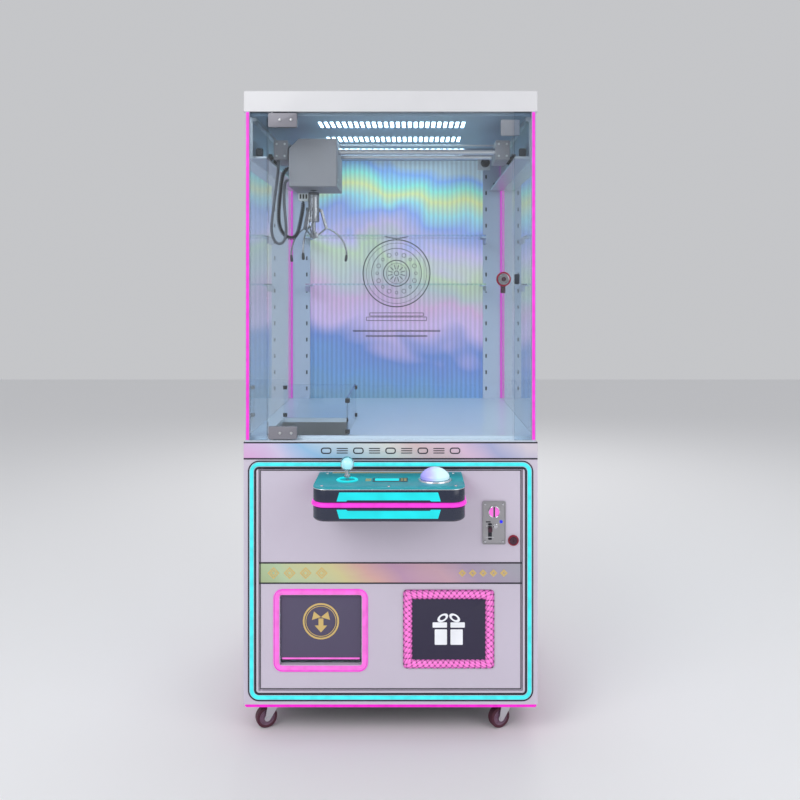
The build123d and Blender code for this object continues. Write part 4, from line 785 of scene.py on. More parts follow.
class Maker:
    """Makes meshes of shapes and puts them on their bodies."""

    def __init__(self) -> None:
        """Start with nothing made."""
        self.made: list[bpy.types.Object] = []

    def piece(
        self,
        name: str,
        shape: Shape,
        finishes: list,
        body: str | None,
        replaces: tuple[str, ...] = (),
        sharp: float = 35.0,
        bevel: float = 0.0,
    ) -> bpy.types.Object:
        """Turn a shape into a piece: weld its seams and turn its faces outwards.

        Args:
            name: the piece's name.
            shape: its points and faces.
            finishes: the finish of each finish number in the shape.
            body: the body it rides on, or None for a piece left on no body, such as a cord between two.
            replaces: nodes of the frame that it stands for.
            sharp: edges that turn by more than this many degrees stay sharp.
            bevel: width of a bevel on such edges.

        Returns:
            The object.
        """
        mesh = bpy.data.meshes.new(name)
        mesh.from_pydata(np.concatenate(shape.points), [], shape.faces)
        mesh.polygons.foreach_set("material_index", np.array(shape.finishes, np.int32))
        mesh.polygons.foreach_set("use_smooth", np.ones(len(shape.faces), bool))
        for finish in finishes:
            mesh.materials.append(finish.build())
        work = bmesh.new()
        work.from_mesh(mesh)
        bmesh.ops.remove_doubles(work, verts=work.verts, dist=2e-6)
        bmesh.ops.recalc_face_normals(work, faces=work.faces)
        work.to_mesh(mesh)
        work.free()
        mesh.update()
        mesh.set_sharp_from_angle(angle=radians(sharp))
        made = bpy.data.objects.new(name, mesh)
        bpy.context.scene.collection.objects.link(made)
        if bevel:
            modifier = made.modifiers.new("edge", "BEVEL")
            modifier.width = bevel
            modifier.segments = 2
            modifier.limit_method = "ANGLE"
            modifier.angle_limit = radians(40)
        if body:
            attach(made, body)
        if replaces:
            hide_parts(*replaces)
        self.made.append(made)
        log.info("piece %s on %s: %d faces", name, body, len(shape.faces))
        return made


MAKER = Maker()


def dress(finish, *nodes: str) -> None:
    """Give nodes of the frame a finish, keeping their shape."""
    for name in nodes:
        mesh = frame["nodes"][name].data
        mesh.materials.clear()
        mesh.materials.append(finish.build())


def corners(name: str) -> tuple[Array, Array]:
    """Lowest and highest corner of a node of the frame."""
    low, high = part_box(name)
    return np.array(low), np.array(high)


def mm(*points: tuple) -> list:
    """Points given in millimetres, in metres."""
    return [tuple(value / 1000 for value in point) for point in points]


def flat_section(start: float, end: float, width: float, inset: float = 0.0) -> list:
    """The section of a flat band between two heights, as (inset, height) points for a ring."""
    return [(inset, start), (inset, end), (inset + width, end), (inset + width, start)]


def screw_heads(
    shape: Shape, places: list, axis: Axis, radius: float, sign: float = 1.0, finish: int = 0
) -> Shape:
    """Pan-head screws: a low dome turned about the axis, with a driver slot left by a lower middle ring."""
    profile = np.array(
        [(1.0, 0.0), (1.0, 0.25), (0.85, 0.5), (0.45, 0.62), (0.32, 0.62), (0.28, 0.3), (0.02, 0.3)]
    ) * radius
    for place in places:
        shape.turned(profile, place, axis, 18, finish, sign)
    return shape


# ------------------------------------------------------------------ sub-assemblies
@dataclass
class Cabinet:
    """Lower cabinet: boards, film bands, neon, skirt, inner parts and the rear face."""

    front_y: float = 0.0

    def build(self) -> None:
        """Make and dress everything that stands on the base."""
        self.front_y = corners("front_frame")[0][1]
        dress(LAVENDER, "front_frame", "side_panels", "rear_frame")
        dress(DECK_WHITE, "playfield_deck")
        dress(ZINC, "prize_chute", "coin_box", "caster_plates", "power_supply")
        dress(DARK_COAT, "base_tray")
        dress(BOARD, "control_board")
        dress(BLACK, "power_inlet")
        dress(RED_ROCKER, "power_switch")
        self.neon()
        self.strips()
        self.header()
        self.inside()

    def neon(self) -> None:
        """The cyan tube round the front, between two flat dark bands of painted shade that stand for its
        grooves.
        """
        centre = np.array([0.0, 0.0, 0.449])
        half = (0.404, 0.340)
        front = self.front_y
        turn = np.linspace(0, pi, 9)
        tube = [(0.007 - 0.0052 * cos(t), front - 0.0005 - 0.0055 * sin(t)) for t in turn]
        tube += [(0.0122, front), (0.0018, front)]
        shape = Shape().outline_ring(Axis.Y, centre, (half[1], half[0]), 0.028, tube, 0, 12)
        MAKER.piece("neon_rectangle", shape, [CYAN_GLOW], "cabinet", ("light_strips",))
        # Painted shade: two flat dark bands, one outside and one inside the tube, stand for the shade in the
        # grooves beside the neon.
        dark = Shape()
        for inset, width, lift in ((-0.0035, 0.0032, 0.0012), (0.0144, 0.0055, 0.0012)):
            section = flat_section(front, front - lift, width, inset)
            dark.outline_ring(Axis.Y, centre, (half[1], half[0]), 0.028, section, 0, 12)
        MAKER.piece("neon_groove_shade", dark, [INK_AND_PAINTED_SHADE], "cabinet")

    def strips(self) -> None:
        """The pink skirt tube and the four upright light strips."""
        tray_low, tray_high = corners("base_tray")
        low, high = tray_low - 0.0135, tray_high + 0.0135
        z0 = 0.083
        turn = np.linspace(0, pi, 7)
        section = [(0.006 - 0.006 * sin(t), z0 + 0.006 - 0.0055 * cos(t)) for t in turn]
        section += [(0.0125, z0 + 0.0115), (0.0125, z0 + 0.0005)]
        centre = np.array([0.0, (low[1] + high[1]) / 2, 0.0])
        half = ((high[0] - low[0]) / 2, (high[1] - low[1]) / 2)
        skirt = Shape().outline_ring(Axis.Z, centre, half, 0.006, section, 0, 5)
        MAKER.piece("skirt_light", skirt, [SKIRT_GLOW], "cabinet")
        glass_low, glass_high = corners("fixed_glass")
        upright = Shape()
        for side in (-1, 1):
            x = side * (glass_high[0] - 0.0065)
            upright.slab(
                Axis.Z, (x - 0.0042, self.front_y - 0.0028, glass_low[2] + 0.002), (
                    x + 0.0042, self.front_y + 0.0002, glass_high[2] - 0.002
                ), 0.002, 0.001
            )
            x = side * 0.4045
            upright.slab(
                Axis.Z, (x - 0.0038, 0.4885, glass_low[2] + 0.012), (
                    x + 0.0038, 0.4932, glass_high[2] - 0.012
                ), 0.002, 0.001, 1
            )
        MAKER.piece("corner_lights", upright, [PINK_GLOW, REAR_PINK], "cabinet")

    def header(self) -> None:
        """The rainbow band above the door, edged by two dark lines, with a row of open rings and bars."""
        y = self.front_y
        band = Shape()
        band.slab(Axis.Y, (-0.4195, y - 0.0006, 0.800), (0.4195, y, 0.842), 0.0005, 0.0002, 0)
        band.slab(Axis.Y, (-0.4198, y - 0.0012, 0.796), (0.4198, y, 0.800), 0.0005, 0.0002, 1)
        band.slab(Axis.Y, (-0.4198, y - 0.0012, 0.842), (0.4198, y, 0.846), 0.0005, 0.0002, 1)
        MAKER.piece("header_band", band, [HEADER_FILM, INK_AND_PAINTED_SHADE], "cabinet")
        marks = Shape()
        for k in range(-4, 5):
            x = k * 0.046
            if k % 2 == 0:
                marks.outline_ring(
                    Axis.Y, (x, 0, 0.821), (0.009, 0.015), 0.008,
                    flat_section(y - 0.0006, y - 0.0014, 0.003),
                )
            else:
                for lift in (-0.0065, 0.0, 0.0065):
                    marks.slab(
                        Axis.Y, (x - 0.016, y - 0.0014, 0.8198 + lift),
                        (x + 0.016, y - 0.0006, 0.8222 + lift), 0.001, 0.0002,
                    )
        MAKER.piece("header_marks", marks, [INK_AND_PAINTED_SHADE], "cabinet")

    def inside(self) -> None:
        """Board parts and supply terminals."""
        low, high = corners("control_board")
        chips = Shape()
        rng = np.random.default_rng(7)
        for _ in range(26):
            y = rng.uniform(low[1] + 0.012, high[1] - 0.02)
            z = rng.uniform(low[2] + 0.012, high[2] - 0.02)
            size = rng.uniform(0.004, 0.012)
            chips.slab(Axis.X, (0.3895, y, z), (0.3925, y + size, z + size * 0.7), 0.0004, 0.0004)
        MAKER.piece("board_chips", chips, [BLACK], "cabinet")
        low, high = corners("power_supply")
        terminals = Shape()
        for k in range(9):
            x = low[0] + 0.012 + k * 0.0095
            terminals.slab(
                Axis.Z, (x, low[1] - 0.012, low[2] + 0.012), (x + 0.007, low[1], low[2] + 0.026), 0.0008,
                0.0006,
            )
        screw_heads(
            terminals, [(low[0] + 0.0155 + k * 0.0095, low[1] - 0.006, low[2] + 0.026) for k in range(9)],
            Axis.Z, 0.0025, 1, 1,
        )
        MAKER.piece("supply_terminals", terminals, [BLACK, ZINC], "cabinet")


@dataclass
class Glasshouse:
    """Play area: posts, panes, roof, ceiling lamps, back film, shelves and chute guard."""

    lamp_count: int = 25
    lamp_pitch: float = 0.018

    def build(self) -> None:
        """Make and dress the glazed upper part."""
        dress(COLUMN_WHITE, "cabinet_posts")
        dress(GREEN_PANE, "fixed_glass")
        dress(SHELF_PANE, "glass_shelves")
        dress(ACRYLIC, "chute_guard")
        dress(CEILING, "ceiling_panel")
        dress(SATIN, "side_rails")
        dress(BACK_FILM, "back_panel")
        self.roof()
        self.lamps()
        self.ornament()
        self.guard_clips()
        self.rail_parts()

    def roof(self) -> None:
        """A roof shell with rounded upright corners and a soft top edge, open below.

        The stack of outlines goes up the outside, over the top edge, and the inside goes back down.
        """
        low, high = corners("roof_cap")
        wall, top, edge = 0.016, 0.008, 0.004
        half = ((high[0] - low[0]) / 2, (high[1] - low[1]) / 2)
        centre = np.array([0, (low[1] + high[1]) / 2, 0])
        turn = np.linspace(0, pi / 2, 5)
        outer = [(0.0006, low[2]), (0.0, low[2] + 0.0006)]
        outer += [(edge * (1 - cos(t)), high[2] - edge * (1 - sin(t))) for t in turn]
        inner = [(wall, high[2] - top), (wall, low[2])]
        section = np.array(outer)
        shape = Shape()
        for points in (section, np.array(inner)):
            rings = [rounded_outline((half[0] - p[0], half[1] - p[0]), 0.005, 5) for p in points]
            heights = np.repeat(points[:, 1][:, None], len(rings[0]), axis=1)
            shape.grid(on_axis(Axis.Z, np.array(rings), heights) + centre, caps=False)
        count = 20
        rows = len(section)
        faces = [list(range((rows - 1) * count, rows * count))]
        first_inner = rows * count
        faces.append(list(range(first_inner, first_inner + count))[::-1])
        inner_low = first_inner + count
        ring = [[i, inner_low + i, inner_low + (i + 1) % count, (i + 1) % count] for i in range(count)]
        shape.faces.extend(faces + ring)
        shape.finishes.extend([0] * (count + 2))
        MAKER.piece("roof_shell", shape, [WHITE_COAT], "cabinet", ("roof_cap",))

    def lamps(self) -> None:
        """Rows of lit bars in the ceiling's slots, each a small rounded bar."""
        low, _ = corners("ceiling_panel")
        front = corners("front_frame")[0][1]
        bars = Shape()
        for y0, y1 in ((0.110, 0.200), (0.350, 0.440), (0.630, 0.730)):
            for k in range(self.lamp_count):
                x = (k - (self.lamp_count - 1) / 2) * self.lamp_pitch
                bars.slab(
                    Axis.Z, (
                        x - 0.0047, front + y0 + 0.001, low[2] + 0.0012
                    ), (x + 0.0047, front + y1 - 0.001, low[2] + 0.0048), 0.002, 0.001, 0, 3
                )
        MAKER.piece("ceiling_lamps", bars, [WHITE_GLOW], "cabinet")

    def ornament(self) -> None:
        """A fine-line ornament on the back film: nested rings, an orbit of beads and a stepped plinth."""
        y = corners("back_panel")[0][1] - 0.0006
        centre = (0.0, 1.345)
        lines = Shape()

        def ring(radius: float, width: float, x: float = centre[0], z: float = centre[1]) -> None:
            section = flat_section(y + 0.0006, y - 0.0004, width)
            lines.outline_ring(Axis.Y, (x, 0, z), (radius, radius), radius - 1e-4, section, 0, 16)

        for radius, width in (
            (0.132, 0.0035), (0.118, 0.0012), (0.098, 0.002), (0.052, 0.003), (0.040, 0.0012)
        ):
            ring(radius, width)
        for k in range(16):
            angle = k * pi / 8
            ring(0.0085 if k % 2 else 0.006, 0.0015, 0.0752 * cos(angle), centre[1] + 0.0752 * sin(angle))
        for k in range(12):
            angle = k * pi / 6 + pi / 12
            direction = np.array([cos(angle), sin(angle)])
            across = np.array([-direction[1], direction[0]]) * 0.0012
            a, b = direction * 0.016 + centre, direction * 0.034 + centre
            outline = np.array([a - across, b - across, b + across, a + across])[:, ::-1]
            lines.prism(Axis.Y, outline, y - 0.0004, y + 0.0006)
        ring(0.010, 0.0022)
        for half, z0, z1 in (
            (0.105, 1.178, 1.192), (0.118, 1.160, 1.176), (0.170, 1.118, 1.124), (0.120, 1.098, 1.104)
        ):
            section = flat_section(y + 0.0006, y - 0.0004, 0.002)
            lines.outline_ring(Axis.Y, (0, 0, (z0 + z1) / 2), ((z1 - z0) / 2, half), 0.003, section, 0, 4)
        MAKER.piece("back_ornament", lines, [INK_AND_PAINTED_SHADE], "cabinet")

    def guard_clips(self) -> None:
        """Dark corner clips of the chute guard."""
        low, high = corners("chute_guard")
        clips = Shape()
        for x, y in (
            (high[0] - 0.0025, high[1] - 0.0025), (high[0] - 0.0025, low[1] + 0.004),
            (low[0] + 0.004, high[1] - 0.0025),
        ):
            for z in (low[2] + 0.004, high[2] - 0.016):
                clips.slab(
                    Axis.Z, (x - 0.0065, y - 0.0065, z), (x + 0.0065, y + 0.0065, z + 0.012), 0.002, 0.001
                )
        MAKER.piece("guard_clips", clips, [BLACK], "cabinet")

    def rail_parts(self) -> None:
        """Rail-end bumpers, and the round sensor on its bracket at the right."""
        rail_low, rail_high = corners("side_rails")
        parts = Shape()
        for side in (-1, 1):
            for y in (rail_low[1] + 0.010, rail_high[1] - 0.010):
                x = side * (rail_high[0] - 0.026)
                parts.slab(
                    Axis.Y, (x - 0.010, y - 0.007, rail_low[2] + 0.007),
                    (x + 0.010, y + 0.007, rail_low[2] + 0.030), 0.003, 0.002, 1,
                )
        y = corners("front_frame")[0][1] + 0.720
        parts.slab(Axis.Y, (0.305, y, 1.728), (0.352, y + 0.004, 1.7815), 0.003, 0.001, 0)
        eye = mm((0.5, -2), (8, -1), (13.5, 0), (16.5, 3), (16.5, 18), (6, 21), (0.5, 21))
        parts.turned(eye, (0.3335, y - 0.018, 1.7545), Axis.Y, 32, 1)
        screw_heads(parts, [(0.311, y, 1.7755), (0.346, y, 1.7755)], Axis.Y, 0.0030, -1, 2)
        for side in (-1, 1):
            parts.slab(
                Axis.Y, (side * 0.347 - 0.005, 0.4962, 0.870), (side * 0.347 + 0.005, 0.4982, 1.776), 0.001,
                0.0003, 1,
            )
        MAKER.piece("rail_parts", parts, [WHITE_COAT, BLACK, ZINC], "cabinet")


@dataclass
class GlassDoor:
    """Hinged glass door with patch fittings, the lock and the catches on the fixed strip."""

    def build(self) -> None:
        """Make and dress the door."""
        dress(DOOR_PANE, "door_glass")
        low, high = corners("door_glass")
        middle = (low[1] + high[1]) / 2
        front, back = middle - 0.008, middle + 0.008
        fittings = Shape()
        for z0, z1 in ((low[2], low[2] + 0.036), (high[2] - 0.040, high[2])):
            for y0, y1 in ((front, low[1]), (high[1], back)):
                fittings.slab(Axis.Y, (low[0], y0, z0), (low[0] + 0.082, y1, z1), 0.003, 0.0008)
            fittings.slab(Axis.Z, (low[0], low[1], z0), (low[0] + 0.0215, high[1], z1), 0.0005, 0.0003)
            screw_heads(
                fittings, [
                    (low[0] + x, front, (z0 + z1) / 2) for x in (0.034, 0.066)
                ], Axis.Y, 0.0042, -1, 1
            )
        for z, sign in ((low[2], -1), (high[2], 1)):
            pin = mm((3, -1), (3, 8.5), (2.4, 9), (0.3, 9))
            fittings.turned(pin, (low[0] + 0.010, middle, z), Axis.Z, 20, 1, sign)
        MAKER.piece(
            "patch_fittings", fittings, [FITTING, ZINC], "glass_door", ("door_fittings",)
        )
        self.lock(low[1] - 0.009)
        self.catches(high)

    def lock(self, y: float) -> None:
        """Lock housing with a red collar, and the plug with its key slot and cam."""
        x, z = 0.323, 1.311
        housing = Shape()
        flange = mm((6.6, 1.2), (6.6, 0), (12.5, 0), (13.5, 1.2), (13.5, 4))
        flange += mm((16, 4.5), (16.5, 9), (13.5, 9))
        housing.turned(flange, (x, y, z), Axis.Y, 48, 0)
        collar = mm((16.7, 8.8), (20.8, 8.8), (21, 7.5), (19.5, 4.5), (17.2, 4), (16.7, 4.5), (16.7, 8.8))
        housing.turned(collar, (x, y, z), Axis.Y, 48, 1)
        barrel = mm((6.6, 4), (9.8, 6), (9.8, 17), (15, 17), (15, 22), (9.8, 23.5), (6.6, 23.5))
        housing.turned(barrel, (x, y, z), Axis.Y, 48, 0)
        MAKER.piece("lock_housing", housing, [CLAW_CHROME, RED], "glass_door")
        dress(PLUG, "door_lock")

    def catches(self, high: Array) -> None:
        """The stop bracket behind the door's upper right corner and the strike at the lock."""
        _, top = corners("door_catches")
        plates = Shape()
        plates.slab(
            Axis.Y, (0.316, high[1] + 0.0004, 1.723), (top[0], high[1] + 0.006, 1.769), 0.004, 0.0008, 0
        )
        screw_heads(
            plates, [(0.330, high[1] + 0.006, 1.746), (0.362, high[1] + 0.006, 1.746)], Axis.Y, 0.004, 1, 1
        )
        plates.slab(
            Axis.Y, (top[0] - 0.015, high[1], 1.296), (top[0], high[1] + 0.0068, 1.326), 0.002, 0.0008, 0
        )
        MAKER.piece("door_catch_plates", plates, [FITTING, ZINC], "cabinet", ("door_catches",))


@dataclass
class ServiceDoor:
    """Front door with its film band, prize flap, gift window, coin acceptor and lock."""

    flap_mark: float = 0.052

    def build(self) -> None:
        """Make and dress the door's own pieces."""
        dress(LAVENDER, "front_door", "rear_door")
        self.low, self.high = corners("front_door")
        self.face = self.low[1]
        self.band()
        self.prize_frame()
        self.flap()
        self.gift()
        self.coin()
        self.lock()
        self.rear()

    def band(self) -> None:
        """The rainbow band across the door between two ink lines, with rows of small lozenges."""
        y, x0, x1 = self.face, self.low[0], self.high[0]
        band = Shape()
        band.slab(Axis.Y, (x0, y - 0.0006, 0.4435), (x1, y, 0.4975), 0.0005, 0.0002, 0)
        band.slab(Axis.Y, (x0, y - 0.0011, 0.4395), (x1, y, 0.4435), 0.0005, 0.0002, 1)
        band.slab(Axis.Y, (x0, y - 0.0011, 0.4975), (x1, y, 0.5015), 0.0005, 0.0002, 1)
        MAKER.piece("door_band", band, [DOOR_FILM, INK_AND_PAINTED_SHADE], "front_door")
        marks = Shape()
        for start, count, size in ((-0.335, 4, 0.017), (0.205, 5, 0.011)):
            for k in range(count):
                x = start + k * size * 2.7
                z = 0.4705
                for scale, thick in ((1.0, 0.0016), (0.55, 0.0012)):
                    s = size * scale
                    diamond = np.array([(z - s, x), (z, x + s), (z + s, x), (z, x - s)])
                    inner = np.array([(z, x)]) + (diamond - np.array([(z, x)])) * (1 - 2.6 * thick / s)
                    stack = on_axis(
                        Axis.Y,
                        np.stack([diamond, diamond, inner, inner]),
                        np.repeat([[y - 0.0006], [y - 0.0012], [y - 0.0012], [y - 0.0006]], 4, axis=1),
                    )
                    marks.grid(stack, close_u=True, caps=False)
        MAKER.piece("door_band_marks", marks, [GOLD], "front_door")
        lip = Shape()
        lip.outline_ring(
            Axis.Y, (0, 0, 0.452), (0.3135, 0.3735), 0.001, flat_section(y, y - 0.0008, 0.0022), 0, 2
        )
        MAKER.piece("door_edge_line", lip, [INK_AND_PAINTED_SHADE], "front_door")

    def prize_frame(self) -> None:
        """The pink tube round the prize door: a half-round section carried round a rounded rectangle."""
        y = self.face
        turn = np.linspace(0, pi, 9)
        section = [(0.008 - 0.0060 * cos(t), y - 0.0008 - 0.0068 * sin(t)) for t in turn]
        section += [(0.0140, y), (0.0020, y)]
        frame_shape = Shape()
        centre = (-0.200, 0, 0.307)
        frame_shape.outline_ring(Axis.Y, centre, (0.116, 0.133), 0.024, section, 0, 10)
        frame_shape.outline_ring(
            Axis.Y, centre, (0.1175, 0.1345), 0.0255, flat_section(y, y - 0.003, 0.002), 1, 10
        )
        MAKER.piece("prize_door_light", frame_shape, [PALE_PINK, PINK_GLOW], "front_door")

    def flap(self) -> None:
        """The tinted flap on its pin, with a gold medallion of a ribbon bow over a down arrow."""
        low, high = corners("prize_flap")
        pivot_y, pivot_z = self.face + 0.009, high[2] - 0.004
        x0, x1 = low[0] + 0.004 + 0.004, high[0] - 0.008
        shape = Shape()
        shape.slab(
            Axis.Y, (x0, pivot_y - 0.0025, low[2]), (x1, pivot_y + 0.0025, pivot_z + 0.001), 0.004, 0.001, 0
        )
        # Painted glow: a pale pink glowing strip along the flap's lower edge, which holds no lamp.
        shape.slab(
            Axis.Y, (x0 + 0.004, pivot_y - 0.0034, low[2]), (x1 - 0.004, pivot_y - 0.0024, low[2] + 0.005),
            0.0005, 0.0003, 2,
        )
        roll = [(0.0038, 0.0), (0.0038, x1 - x0)]
        shape.turned(roll, (x0, pivot_y, pivot_z), Axis.X, 20, 0)
        pin = [
            (0.0026, 0.0), (0.003, 0.0006), (0.003, high[0] - low[0] - 0.0006), (0.0026, high[0] - low[0])
        ]
        shape.turned(pin, (low[0], pivot_y, pivot_z), Axis.X, 16, 1)
        MAKER.piece(
            "prize_flap_panel", shape, [FLAP, ZINC, PALE_PINK], "prize_flap",
            ("prize_flap",),
        )
        mark = Shape()
        y = pivot_y - 0.0026
        cx, cz = -0.200, 0.330
        for radius, width in ((self.flap_mark, 0.005), (0.044, 0.0018)):
            section = flat_section(y, y - 0.0008, width)
            mark.outline_ring(Axis.Y, (cx, 0, cz), (radius, radius), radius - 1e-4, section, 0, 16)
        for side in (-1, 1):
            loop = np.array(
                [(cz + 0.012, cx), (cz + 0.028, cx + side * 0.020), (cz + 0.004, cx + side * 0.026)]
            )
            mark.prism(Axis.Y, loop, y - 0.0008, y)
        arrow = mm((8, -7), (8, 7), (-12, 7), (-12, 18), (-32, 0), (-12, -18), (-12, -7))
        outline = np.array([(cz + a, cx + b) for a, b in arrow])
        mark.prism(Axis.Y, outline, y - 0.0008, y)
        MAKER.piece("prize_flap_mark", mark, [GOLD], "prize_flap")

    def gift(self) -> None:
        """The quilted surround and dark window of the gift sign, with a parcel pictogram.

        The surround's height is a crown across its width times the fall between crossed diagonal seams: the
        product of two absolute sines of (u + v) and (u - v), where u runs round the frame and v across it.
        """
        y = self.face
        x0, x1, z0, z1, width = 0.036, 0.296, 0.199, 0.423, 0.026
        half, centre = ((z1 - z0) / 2, (x1 - x0) / 2), ((z0 + z1) / 2, (x0 + x1) / 2)
        rows, seams, crossing = 13, 54, 1.5
        columns = seams * 18
        across = np.linspace(0, 1, rows)
        outlines = [
            rounded_outline((half[0] - width * v, half[1] - width * v), 0.010 * (1 - 0.6 * v), 6)
            for v in across
        ]
        rings = np.array([self.even(outline, columns) for outline in outlines]) + np.array(centre)
        around = np.arange(columns) / columns

        def lift(u: Array, v: Array) -> Array:
            """Height over the door at u round the surround and v across it."""
            wave = np.abs(np.sin(pi * (u * seams + v * crossing)) * np.sin(pi * (u * seams - v * crossing)))
            crown = np.sin(pi * np.clip(v, 0.03, 0.97))
            return 0.0008 + 0.0040 * crown**0.5 + 0.0042 * wave**0.5 * crown**0.3

        surface = on_axis(Axis.Y, rings, y - lift(around[None, :], across[:, None]))
        quilt = Shape().grid(surface[::-1], caps=False)
        back = on_axis(Axis.Y, np.stack([rings[0], rings[-1]]), np.full((2, columns), y))
        quilt.grid(np.stack([surface[0], back[0]]), caps=False)
        quilt.grid(np.stack([back[1], surface[-1]]), caps=False)
        quilt.grid(back, caps=False)
        MAKER.piece(
            "gift_surround", quilt, [Quilt("quilted_pink", y - 0.0010, y - 0.0088)], "front_door",
            ("gift_window",), sharp=80,
        )
        net = Shape()
        for seam in range(seams):
            for sign in (-1, 1):
                u = ((seam + sign * across * crossing) / seams) % 1.0
                at = u * columns
                first = at.astype(int) % columns
                share = (at - np.floor(at))[:, None]
                row = np.arange(rows)
                points = rings[row, first] * (1 - share) + rings[row, (first + 1) % columns] * share
                net.tube(on_axis(Axis.Y, points, y - lift(u, across) - 0.0001), 0.0012, (0, 1, 0), 6)
        MAKER.piece("gift_net", net, [INK_AND_PAINTED_SHADE], "front_door", sharp=80)
        panel = Shape()
        panel.slab(
            Axis.Y, (
                x0 + width - 0.001, y - 0.004, z0 + width - 0.001
            ), (x1 - width + 0.001, y, z1 - width + 0.001), 0.004, 0.001, 0
        )
        MAKER.piece("gift_panel", panel, [WINDOW], "front_door")
        sign = Shape()
        cx, cz, front = (x0 + x1) / 2, (z0 + z1) / 2 - 0.008, y - 0.004
        for low_x, high_x, low_z, high_z in (
            (-0.040, -0.005, -0.036, 0.008),
            (0.005, 0.040, -0.036, 0.008),
            (-0.046, -0.005, 0.013, 0.028),
            (0.005, 0.046, 0.013, 0.028),
        ):
            sign.slab(
                Axis.Y, (cx + low_x, front - 0.0008, cz + low_z), (cx + high_x, front, cz + high_z), 0.002,
                0.0003,
            )
        for side in (-1, 1):
            loop = circle_outline(1.0, 24) * np.array([0.010, 0.017])
            tilt = side * 0.55
            turn = np.array([[cos(tilt), -sin(tilt)], [sin(tilt), cos(tilt)]])
            outer = loop @ turn.T + np.array([cz + 0.041, cx + side * 0.017])
            inner = (loop * 0.55) @ turn.T + np.array([cz + 0.041, cx + side * 0.017])
            stack = on_axis(
                Axis.Y,
                np.stack([outer, outer, inner, inner]),
                np.repeat([[front], [front - 0.0008], [front - 0.0008], [front]], 24, axis=1),
            )
            sign.grid(stack, close_u=True, caps=False)
        MAKER.piece("gift_pictogram", sign, [SIGN_WHITE], "front_door")

    @staticmethod
    def even(outline: Array, count: int) -> Array:
        """The same closed outline with points at even distances along it."""
        closed = np.vstack([outline, outline[:1]])
        run = np.concatenate([[0], np.cumsum(np.linalg.norm(np.diff(closed, axis=0), axis=1))])
        at = np.linspace(0, run[-1], count, endpoint=False)
        return np.stack([np.interp(at, run, closed[:, i]) for i in (0, 1)], axis=-1)

    def coin(self) -> None:
        """Coin acceptor: cast plate with a raised rim, lit entry, screws and mechanism, with dark slabs of
        painted shade for the coin slot, the slit and the return pocket.
        """
        low, high = corners("coin_acceptor")
        y = self.face
        plate = Shape()
        plate.slab(Axis.Y, (low[0], y - 0.0028, low[2]), (high[0], y, high[2]), 0.005, 0.0008, 0)
        rim = np.array(
            [(0.0, y - 0.0028), (0.0006, y - 0.004), (0.0028, y - 0.004), (0.0034, y - 0.0028)]
        )[::-1]
        centre = (low + high) / 2
        plate.outline_ring(
            Axis.Y, (centre[0], 0, centre[2]), ((high[2] - low[2]) / 2, (high[0] - low[0]) / 2), 0.005, rim,
            0, 6,
        )
        screws = [
            (x, y - 0.0028, z)
            for x in (low[0] + 0.008, high[0] - 0.008) for z in (low[2] + 0.009, high[2] - 0.009)
        ]
        screw_heads(plate, screws, Axis.Y, 0.0036, -1, 1)
        plate.slab(
            Axis.Y, (low[0] + 0.008, y + 0.0, low[2] + 0.008),
            (high[0] - 0.008, y + 0.090, high[2] - 0.008), 0.002, 0.001, 2,
        )
        MAKER.piece(
            "coin_plate", plate, [CAST, CHROME, BLACK], "front_door", ("coin_acceptor",)
        )
        entry = Shape()
        ex, ez = low[0] + 0.034, 0.646
        ring = mm((17.2, 0), (17.2, -3.2), (16, -4), (14.8, -3.2), (14.8, 0), (17.2, 0))
        entry.turned(ring, (ex, y - 0.0026, ez), Axis.Y, 40, 0)
        for side in (-1, 1):
            sweep = np.linspace(-pi / 2 + 0.16, pi / 2 - 0.16, 16)
            half_disc = np.stack([0.0142 * np.sin(sweep), side * 0.0142 * np.cos(sweep)], axis=-1)
            outline = half_disc + np.array([ez, ex + side * 0.0006])
            entry.prism(Axis.Y, outline, y - 0.0040, y - 0.0027, 1)
        # Painted shade: a dark slab stands for the inside of the coin slot.
        entry.slab(
            Axis.Y, (ex - 0.0016, y - 0.0031, ez - 0.015), (ex + 0.0016, y - 0.0026, ez + 0.015), 0.0008,
            0.0002, 2,
        )
        # Painted shade: a dark slab stands for the inside of the slit.
        entry.slab(
            Axis.Y, (low[0] + 0.010, y - 0.0036, ez - 0.030), (low[0] + 0.024, y - 0.0026, ez - 0.027),
            0.001, 0.0003, 2,
        )
        lamp = mm((4.5, 0), (4.5, 1.4), (3, 2.8), (0.4, 3.2))
        entry.turned(lamp, (high[0] - 0.013, y - 0.0027, ez - 0.028), Axis.Y, 20, 3, -1)
        knob = mm((7, 0), (7, 2), (4.5, 3.2), (0.4, 3.4))
        entry.turned(knob, (ex + 0.003, y - 0.0027, ez - 0.040), Axis.Y, 24, 0, -1)
        for dz in (-0.016, 0.016):
            entry.slab(
                Axis.Y, (ex - 0.0235, y - 0.0034, 0.590 + dz - 0.0013),
                (ex - 0.0005, y - 0.0026, 0.590 + dz + 0.0013), 0.0008, 0.0003, 0,
            )
